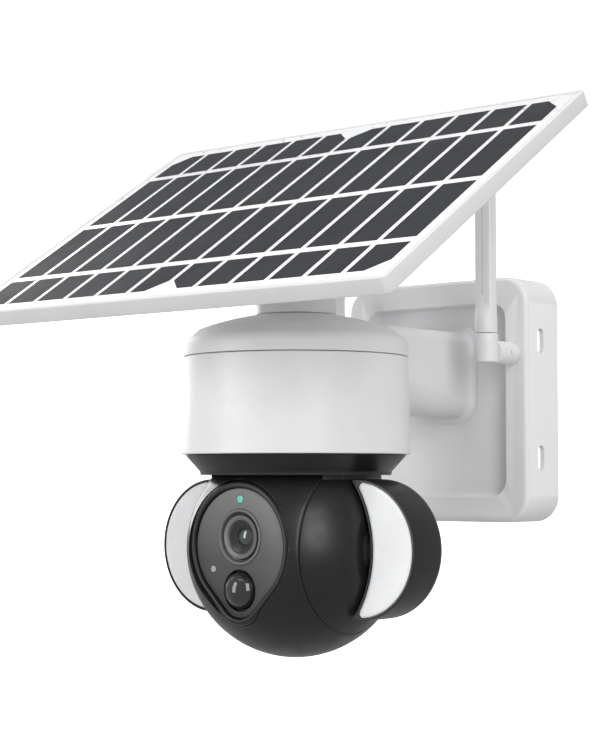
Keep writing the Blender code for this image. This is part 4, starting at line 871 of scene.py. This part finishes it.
def make_turret():
    low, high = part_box("turret_cone")
    bore, post, collar, cone_radius, foot_radius = (
        6 * MM, 22 * MM, 35 * MM, 49 * MM, 42.3 * MM)
    step, lip, drop = 8.4 * MM, 1.3 * MM, 0.35 * MM
    hollow_foot = asind((low.z - HEAD.z) / SOCKET_HOLLOW)
    hollow_end = acosd(bore / SOCKET_HOLLOW)
    hollow = [(r, z + HEAD.z) for r, z in
              arc((0, 0), SOCKET_HOLLOW, hollow_foot, hollow_end, 40)]
    cone_top, neck_top = low.z + step, low.z + step + GAP + step
    side = [(bore, high.z), (post, high.z), (post, neck_top), (collar, neck_top),
            (collar, cone_top), (cone_radius, cone_top),
            (foot_radius + drop, low.z + lip), (foot_radius, low.z - drop)]
    cone = turned("turret", softened(side, 0.35 * MM) + hollow, PAN_PLACE, steps=240, closed=True)
    dress(cone, "fork", BLACK, ["turret_cone"])


def make_cheek(side_name, side):
    """A cap of the ball's own sphere with a pocket behind it, on a stem from the turret."""
    turn = "right" if side > 0 else "left"
    flat, pocket_outer, pocket_inner = 45.4 * MM, 26 * MM, 13 * MM
    pole = asind(flat / BALL_RADIUS)
    rim = asind(CHEEK_INNER / BALL_RADIUS)
    depth = CHEEK_INNER + 6 * MM
    round_edge = sphere_height(BALL_RADIUS, flat) - 0.5 * MM
    profile = [(BUSH_OUTER + GAP, flat), (round_edge, flat)]
    profile += arc((0, 0), BALL_RADIUS, pole - 0.7, rim + 0.4, 48)
    edge = sphere_height(BALL_RADIUS, CHEEK_INNER)
    profile += [(edge - 0.1 * MM, CHEEK_INNER + 0.08 * MM), (edge - 0.4 * MM, CHEEK_INNER)]
    profile += [(pocket_outer, CHEEK_INNER), (pocket_outer, depth), (pocket_inner, depth),
                (pocket_inner, CHEEK_INNER), (BUSH_OUTER + GAP, CHEEK_INNER)]
    cheek = turned("fork_arm_" + side_name, profile, HEAD_PLACE, turn, 240, closed=True)
    foot = edge * 0.78
    top = sphere_height(SOCKET_HOLLOW, CHEEK_INNER) + 1 * MM
    stem = bar("stem", STEM_RADIUS, foot, top, HEAD_PLACE, edge=0, steps=200)
    reach = STEM_RADIUS + 2 * MM
    keep(stem, box("side", reach - CHEEK_INNER, 2 * STEM_HALF, 4 * foot,
                   (side * (reach + CHEEK_INNER) / 2, 0, foot), 0.05 * MM, HEAD_PLACE))
    keep(stem, ball_cut("top", SOCKET_HOLLOW - GAP))
    join(cheek, stem)
    ease(cheek, 0.3 * MM, 2, 40)
    dress(cheek, "fork", BLACK, ["fork_cheek_" + side_name])


def teardrop(grow, steps=72):
    """Two circles of unlike radius joined by their outer tangents."""
    (high, large), (low, small) = FACE_LARGE, FACE_SMALL
    large, small = large + grow, small + grow
    lean = asind((large - small) / (high - low))
    outline = arc((0, high), large, -lean, 180 + lean, steps)
    return outline + arc((0, low), small, 180 + lean, 360 - lean, steps // 2)


def make_ball():
    side_radius = sphere_height(BALL_RADIUS, BALL_HALF)
    rim = asind(BALL_HALF / BALL_RADIUS)
    inner = BALL_RADIUS - BALL_WALL
    shaft_ring = BALL_HALF - BALL_WALL
    inner_rim = asind(shaft_ring / inner)
    bore_right, bore_left = HUB_RADIUS + GAP, BUSH_OUTER + GAP
    outside = [(bore_right, BALL_HALF), (side_radius - 0.5 * MM, BALL_HALF),
               (side_radius - 0.12 * MM, BALL_HALF - 0.1 * MM)]
    outside += arc((0, 0), BALL_RADIUS, rim - 0.7, 0.7 - rim, 72)
    outside += [(side_radius - 0.12 * MM, 0.1 * MM - BALL_HALF),
                (side_radius - 0.5 * MM, -BALL_HALF), (bore_left, -BALL_HALF),
                (bore_left, -shaft_ring)]
    inside = arc((0, 0), inner, -inner_rim, inner_rim, 36) + [(bore_right, shaft_ring)]
    size = 2.4 * BALL_RADIUS
    half = 0.25 * MM
    for name, node, low, high in (
            ("head_front", "ball_front_shell", -size, BALL_SPLIT - half / 2),
            ("head_rear", "ball_rear_shell", BALL_SPLIT + half / 2, size)):
        shell = turned(name, outside + inside, HEAD_PLACE, "right", 240, closed=True)
        keep(shell, box("split", size, high - low, size, (0, (low + high) / 2, 0), 0.05 * MM,
                        HEAD_PLACE))
        if node == "ball_front_shell":
            cut(shell, slab("face", lambda inset: teardrop(RIM + GAP - inset),
                            [(FACE_OUT - 8 * MM, 0), (FACE_OUT + 20 * MM, 0)], HEAD_PLACE,
                            "front"))
        ease(shell, 0.25 * MM, 2, 40)
        dress(shell, "camera_head", BLACK, [node])


def ring_loft(name, outline, section, place, turn="front"):
    """A ring whose section is a closed run of (inset, height) round an outline."""
    loops = [[(x, y, height) for x, y in outline(inset)] for inset, height in section]
    return loft(name, loops, place @ TURNS[turn], closed=True)


def make_face():
    front, depth = FACE_OUT + RIM_PROUD, 5 * MM
    crown, inner = 1.7 * MM, 0.8 * MM
    section = [(0.0, front - depth)]
    section += [(crown * (1 - sind(a)),
                 front - crown * (1 - cosd(a))) for a in range(90, -1, -9)]
    section += [(RIM - GAP - inner + inner * sind(a),
                 front - inner * (1 - cosd(a))) for a in range(0, 91, 15)]
    seat = front - RIM_PROUD - 2 * MM - GAP
    section += [(RIM - GAP, seat), (RIM + 1.5 * MM, seat), (RIM + 1.5 * MM, front - depth)]
    bezel = ring_loft("face_rim", lambda inset: teardrop(RIM - inset), section, HEAD_PLACE)
    dress(bezel, "camera_head", BLACK, ["face_bezel"])

    plate = slab("face_window", lambda inset: teardrop(-inset),
                 fillet_levels(FACE_OUT - 2 * MM, FACE_OUT, 0, 0.3 * MM, 4), HEAD_PLACE, "front")
    x, z = SENSOR_PLACE
    for across, rise, radius in ((0, LENS_RISE, LENS_RADIUS), (0, PIR_RISE, PIR_RADIUS),
                                 (0, LED_RISE, LED_RADIUS), (x, z, SENSOR_RADIUS)):
        cut(plate, bar("window", radius + GAP / 2, -1 * MM, 60 * MM,
                       HEAD_PLACE @ at(across, 0, rise), "front", 0, 120))
    ease(plate, 0.15 * MM, 2, 40)
    dress(plate, "camera_head", FACE, ["face_plate"])

    place = HEAD_PLACE @ at(0, 0, LENS_RISE)
    lens_foot = FACE_OUT - 7 * MM
    # The rings round the lens, outside in, by their tops: (radius, height over the plate).
    rings = (("lens_bezel", LENS_GREY, ["lens_ring"],
              [(LENS_RADIUS, 0.4 * MM), (10.8 * MM, 0.4 * MM), (10.4 * MM, -0.9 * MM)]),
             ("lens_groove", LENS_BLACK, [], [(10.35 * MM, -1.0 * MM), (9.35 * MM, -1.3 * MM)]),
             ("lens_collar", LENS_GREY, [],
              [(9.3 * MM, -0.2 * MM), (7.4 * MM, -0.5 * MM), (6.95 * MM, -1.2 * MM)]),
             ("lens_dish", LENS_BLACK, [], [(6.9 * MM, -1.1 * MM), (3.65 * MM, -2.9 * MM)]))
    for name, paint, nodes, tops in rings:
        foot = (tops[0][0], lens_foot)
        corners = [foot] + [(radius, FACE_OUT + rise) for radius, rise in tops]
        corners += [(tops[-1][0], lens_foot), foot]
        ring = turned(name, softened(corners, 0.3 * MM)[:-1], place, "front", 160, closed=True)
        dress(ring, "camera_head", paint, nodes)
    sag = 1.1 * MM
    radius = 3.55 * MM
    curve = (radius ** 2 + sag ** 2) / (2 * sag)
    reach = asind(radius / curve)
    top = FACE_OUT - 2.1 * MM
    profile = [(0.0, lens_foot), (radius, lens_foot)]
    profile += arc((0, top - curve), curve, 90 - reach, 90, 24)
    profile[-1] = (0.0, top)
    lens = turned("front_lens", profile, place, "front", 120)
    dress(lens, "camera_head", GLASS, ["lens_glass"])

    place = HEAD_PLACE @ at(0, 0, PIR_RISE)
    dome, flange = PIR_RADIUS - 0.7 * MM, FACE_OUT - 1.8 * MM
    profile = [(PIR_RADIUS - GAP, flange - 2 * MM), (PIR_RADIUS - GAP, flange)]
    profile += [(dome + 0.2 * MM, flange)]
    height = dome * 0.86
    profile += [(dome * cosd(a), flange + height * sind(a))
                for a in range(2, 90, 4)] + [(0.0, flange + height)]
    under = [(0.0, flange + height - 1.2 * MM)]
    under += [((dome - 1.2 * MM) * cosd(a),
               flange + (height - 1.2 * MM) * sind(a)) for a in range(80, -1, -10)]
    under += [(dome - 1.2 * MM, flange - 2 * MM), (PIR_RADIUS - GAP, flange - 2 * MM)]
    pir = turned("motion_lens", profile + under, place, "front", 120)
    dress(pir, "camera_head", PIR, ["pir_lens"])

    for name, node, paint, slot, radius, across, rise in (
            ("status_pipe", "status_light", TEAL, "status_teal", LED_RADIUS, 0, LED_RISE),
            ("sensor_pipe", "light_sensor", SENSOR, "sensor_grey", SENSOR_RADIUS, x, z)):
        place = HEAD_PLACE @ at(across, 0, rise)
        pipe = bar(name, radius - 0.03 * MM, FACE_OUT - 4 * MM, FACE_OUT + 0.1 * MM, place,
                   "front", 0.3 * MM, 48)
        dress(pipe, "camera_head", paint, [node])


def crescent(outer, inner, tip, side):
    """Outline of an eccentric disc less the round ball beside it, its two tips rounded."""
    reach, lean = outer - tip, inner + tip
    x = (lean ** 2 - reach ** 2 + POD_OUT ** 2) / (2 * POD_OUT)
    z = math.sqrt(lean ** 2 - x ** 2)
    far = math.degrees(math.atan2(z, x - POD_OUT))
    near = math.degrees(math.atan2(z, x))
    points = arc((POD_OUT, 0), outer, -far, far, 72)
    points += arc((x, z), tip, far, 180 + near, 12)
    points += arc((0, 0), inner, near, -near, 48)
    points += arc((x, -z), tip, 180 - near, 360 - far, 12)
    return [(side * px, pz) for px, pz in points]


def make_pod(side_name, side):
    place = HEAD_PLACE @ at(side * POD_OUT, 0, 0)
    turn = "right" if side > 0 else "left"
    front = -POD_FRONT
    profile = softened([(0.0, front), (POD_RADIUS, front), (POD_RADIUS, 0)], 0.5 * MM)[:-1]
    profile += [(r, -z) for r, z in arc((POD_RADIUS - POD_ROUND, POD_BACK - POD_ROUND),
                                        POD_ROUND, 0, 90, 16)] + [(0.0, -POD_BACK)]
    shell = turned("lamp_pod_" + side_name, profile, place, "front", 240)
    cut(shell, ball_cut("hollow", POD_INNER))
    outer = POD_RADIUS - 1.1 * MM
    inner = sphere_height(POD_INNER, POD_FRONT) + 0.9 * MM
    depth = 3.2 * MM
    cut(shell, slab("pocket", lambda inset: crescent(outer, inner, 2.1 * MM, side),
                    [(front - depth, 0), (front + 5 * MM, 0)], HEAD_PLACE, "front"))
    low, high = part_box("pod_shell_" + side_name)
    hub_foot = (low.x if side > 0 else -high.x)
    join(shell, bar("hub", HUB_RADIUS, hub_foot, POD_INNER + 1.5 * MM, HEAD_PLACE, turn,
                    0, 96))
    ease(shell, 0.2 * MM, 2, 42)
    dress(shell, "camera_head", BLACK, ["pod_shell_" + side_name])

    gap, spread, drop = 0.12 * MM, 1.85 * MM, 0.9 * MM
    levels = [(front - depth + gap, 0.0)]
    levels += [(front + 0.3 * MM - drop * (1 - sind(a)),
                spread * (1 - cosd(a))) for a in range(0, 91, 9)]
    lamp = slab("lamp_window_" + side_name,
                lambda inset: crescent(outer - gap - inset, inner + gap + inset,
                                       2.0 * MM - inset, side), levels, HEAD_PLACE, "front")
    dress(lamp, "camera_head", OPAL, ["lamp_diffuser_" + side_name], 60)


def make_head():
    make_turret()
    make_ball()
    make_face()
    for side_name, side in SIDES:
        make_cheek(side_name, side)
        make_pod(side_name, side)


# ============================================================ inner details
CARRIED = {
    "bare_steel": (STEEL, ["wall_plate", "plate_screw_upper", "plate_screw_lower",
                           "arm_screw_upper", "arm_screw_lower", "retaining_ring", "pan_motor",
                           "tilt_motor", "pir_sensor"]),
    "black_plastic": (BLACK, ["battery_tray", "lens_barrel", "tilt_bush_left",
                              "tilt_bush_right"]),
    "soft_rubber": (RUBBER, ["cap_gasket"]),
    "gear_nylon": (NYLON, ["pan_bearing", "pan_gear", "pan_pinion", "tilt_gear", "tilt_pinion"]),
    "circuit_board": (BOARD, ["main_board", "camera_board", "lamp_board_left",
                              "lamp_board_right"]),
    "battery_wrap": (WRAP, ["battery_cell_1", "battery_cell_2"]),
}


def finish_carried_nodes():
    for paint, names in CARRIED.values():
        for name in names:
            node = frame["nodes"][name]
            node.data.materials.clear()
            node.data.materials.append(paint)


def make_chips():
    """Packages on the main board and lamp chips on the lamp boards."""
    low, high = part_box("main_board")
    middle = (low + high) / 2
    parts = ((-0.25, -0.20, 12, 12, 1.4), (0.20, -0.25, 8, 14, 1.2), (0.28, 0.20, 10, 6, 2.6),
             (-0.10, 0.25, 5, 5, 3.2), (-0.32, 0.22, 7, 5, 1.0))
    for i, (across, along, width, depth, height) in enumerate(parts):
        centre = (middle.x + across * (high.x - low.x), middle.y + along * (high.y - low.y),
                  high.z + height * MM / 2)
        chip = box("board_chip_%d" % (i + 1), width * MM, depth * MM, height * MM, centre,
                   0.2 * MM)
        dress(chip, "housing", LENS_BLACK)
    for side_name, side in SIDES:
        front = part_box("lamp_board_" + side_name)[0].y
        for i, rise in enumerate((-18, -9, 0, 9, 18)):
            x = side * (POD_OUT + math.sqrt((POD_RADIUS - 7 * MM) ** 2 - (rise * MM) ** 2))
            chip = box("lamp_chip_%s_%d" % (side_name, i + 1), 2.6 * MM, 0.8 * MM, 2.6 * MM,
                       (x, front - 0.4 * MM, HEAD.z + rise * MM), 0.15 * MM)
            dress(chip, "camera_head", OPAL)


# ==================================================================== stage
def softbox(name, place, target, width, height, power):
    light = bpy.data.lights.new(name, "AREA")
    light.shape = "RECTANGLE"
    light.size, light.size_y = width, height
    light.energy = power
    made = bpy.data.objects.new(name, light)
    made.location = place
    made.rotation_euler = (Vector(target) - Vector(place)).to_track_quat("-Z", "Y").to_euler()
    bpy.context.scene.collection.objects.link(made)


def glowing(name, strength):
    made = bpy.data.materials.new(name)
    made.use_nodes = True
    shader = made.node_tree.nodes["Principled BSDF"]
    shader.inputs["Base Color"].default_value = (0.9, 0.9, 0.9, 1.0)
    shader.inputs["Roughness"].default_value = 0.8
    shader.inputs["Emission Color"].default_value = (1, 1, 1, 1)
    shader.inputs["Emission Strength"].default_value = strength
    return made


def plane(name, size, place, turn, paint):
    bm = bmesh.new()
    bmesh.ops.create_grid(bm, x_segments=1, y_segments=1, size=size / 2)
    mesh = bpy.data.meshes.new(name)
    bm.to_mesh(mesh)
    bm.free()
    mesh.materials.append(paint)
    made = bpy.data.objects.new(name, mesh)
    made.location = place
    made.rotation_euler = turn
    bpy.context.scene.collection.objects.link(made)
    return made


def make_stage():
    scene = bpy.context.scene
    scene.view_settings.view_transform = "Standard"
    world = bpy.data.worlds.new("studio")
    scene.world = world
    world.use_nodes = True
    back = world.node_tree.nodes["Background"]
    back.inputs["Color"].default_value = (1, 1, 1, 1)
    back.inputs["Strength"].default_value = 0.56

    camera_place = (0.5050, -0.7423, -0.0369)
    camera_turn = (math.radians(93.23), 0.0, math.radians(39.6))
    look = Matrix.Rotation(camera_turn[2], 3, "Z") @ Vector((0, 1, 0))
    for name, size, place, turn in (
            ("floor", 6.0, (0, 0, -0.32), (0, 0, 0)),
            ("backdrop", 8.0, Vector((0, 0, 0.5)) + look * 2.0,
             (math.pi / 2, 0, camera_turn[2]))):
        made = plane(name, size, place, turn, glowing(name, 1.0))
        made.visible_glossy = made.visible_diffuse = False
        if name == "backdrop":
            made.visible_transmission = made.visible_shadow = False

    middle = (0, -0.10, -0.02)
    softbox("key_left", (-0.55, -1.30, 0.25), middle, 0.45, 1.1, 8.0)
    softbox("key_right", (1.05, -0.75, 0.40), middle, 0.5, 1.0, 9.0)
    softbox("top", (0.10, -0.35, 1.30), middle, 1.4, 1.2, 8)
    softbox("fill_left", (-0.75, 0.05, 0.22), (0, PAN.y, 0.03), 0.4, 0.5, 2.5)

    camera = bpy.data.objects.new("camera", bpy.data.cameras.new("camera"))
    camera.data.lens = 84.9
    camera.data.sensor_width = 36.0
    camera.data.sensor_height = 36.0
    camera.data.sensor_fit = "AUTO"
    camera.data.clip_start = 0.01
    camera.location = camera_place
    camera.rotation_euler = camera_turn
    scene.collection.objects.link(camera)
    scene.camera = camera


make_bracket()
make_arm()
make_housing()
make_button_and_port()
make_turntable()
make_panel()
for aerial_name, _ in SIDES:
    make_aerial(aerial_name)
make_head()
finish_carried_nodes()
make_chips()
make_stage()
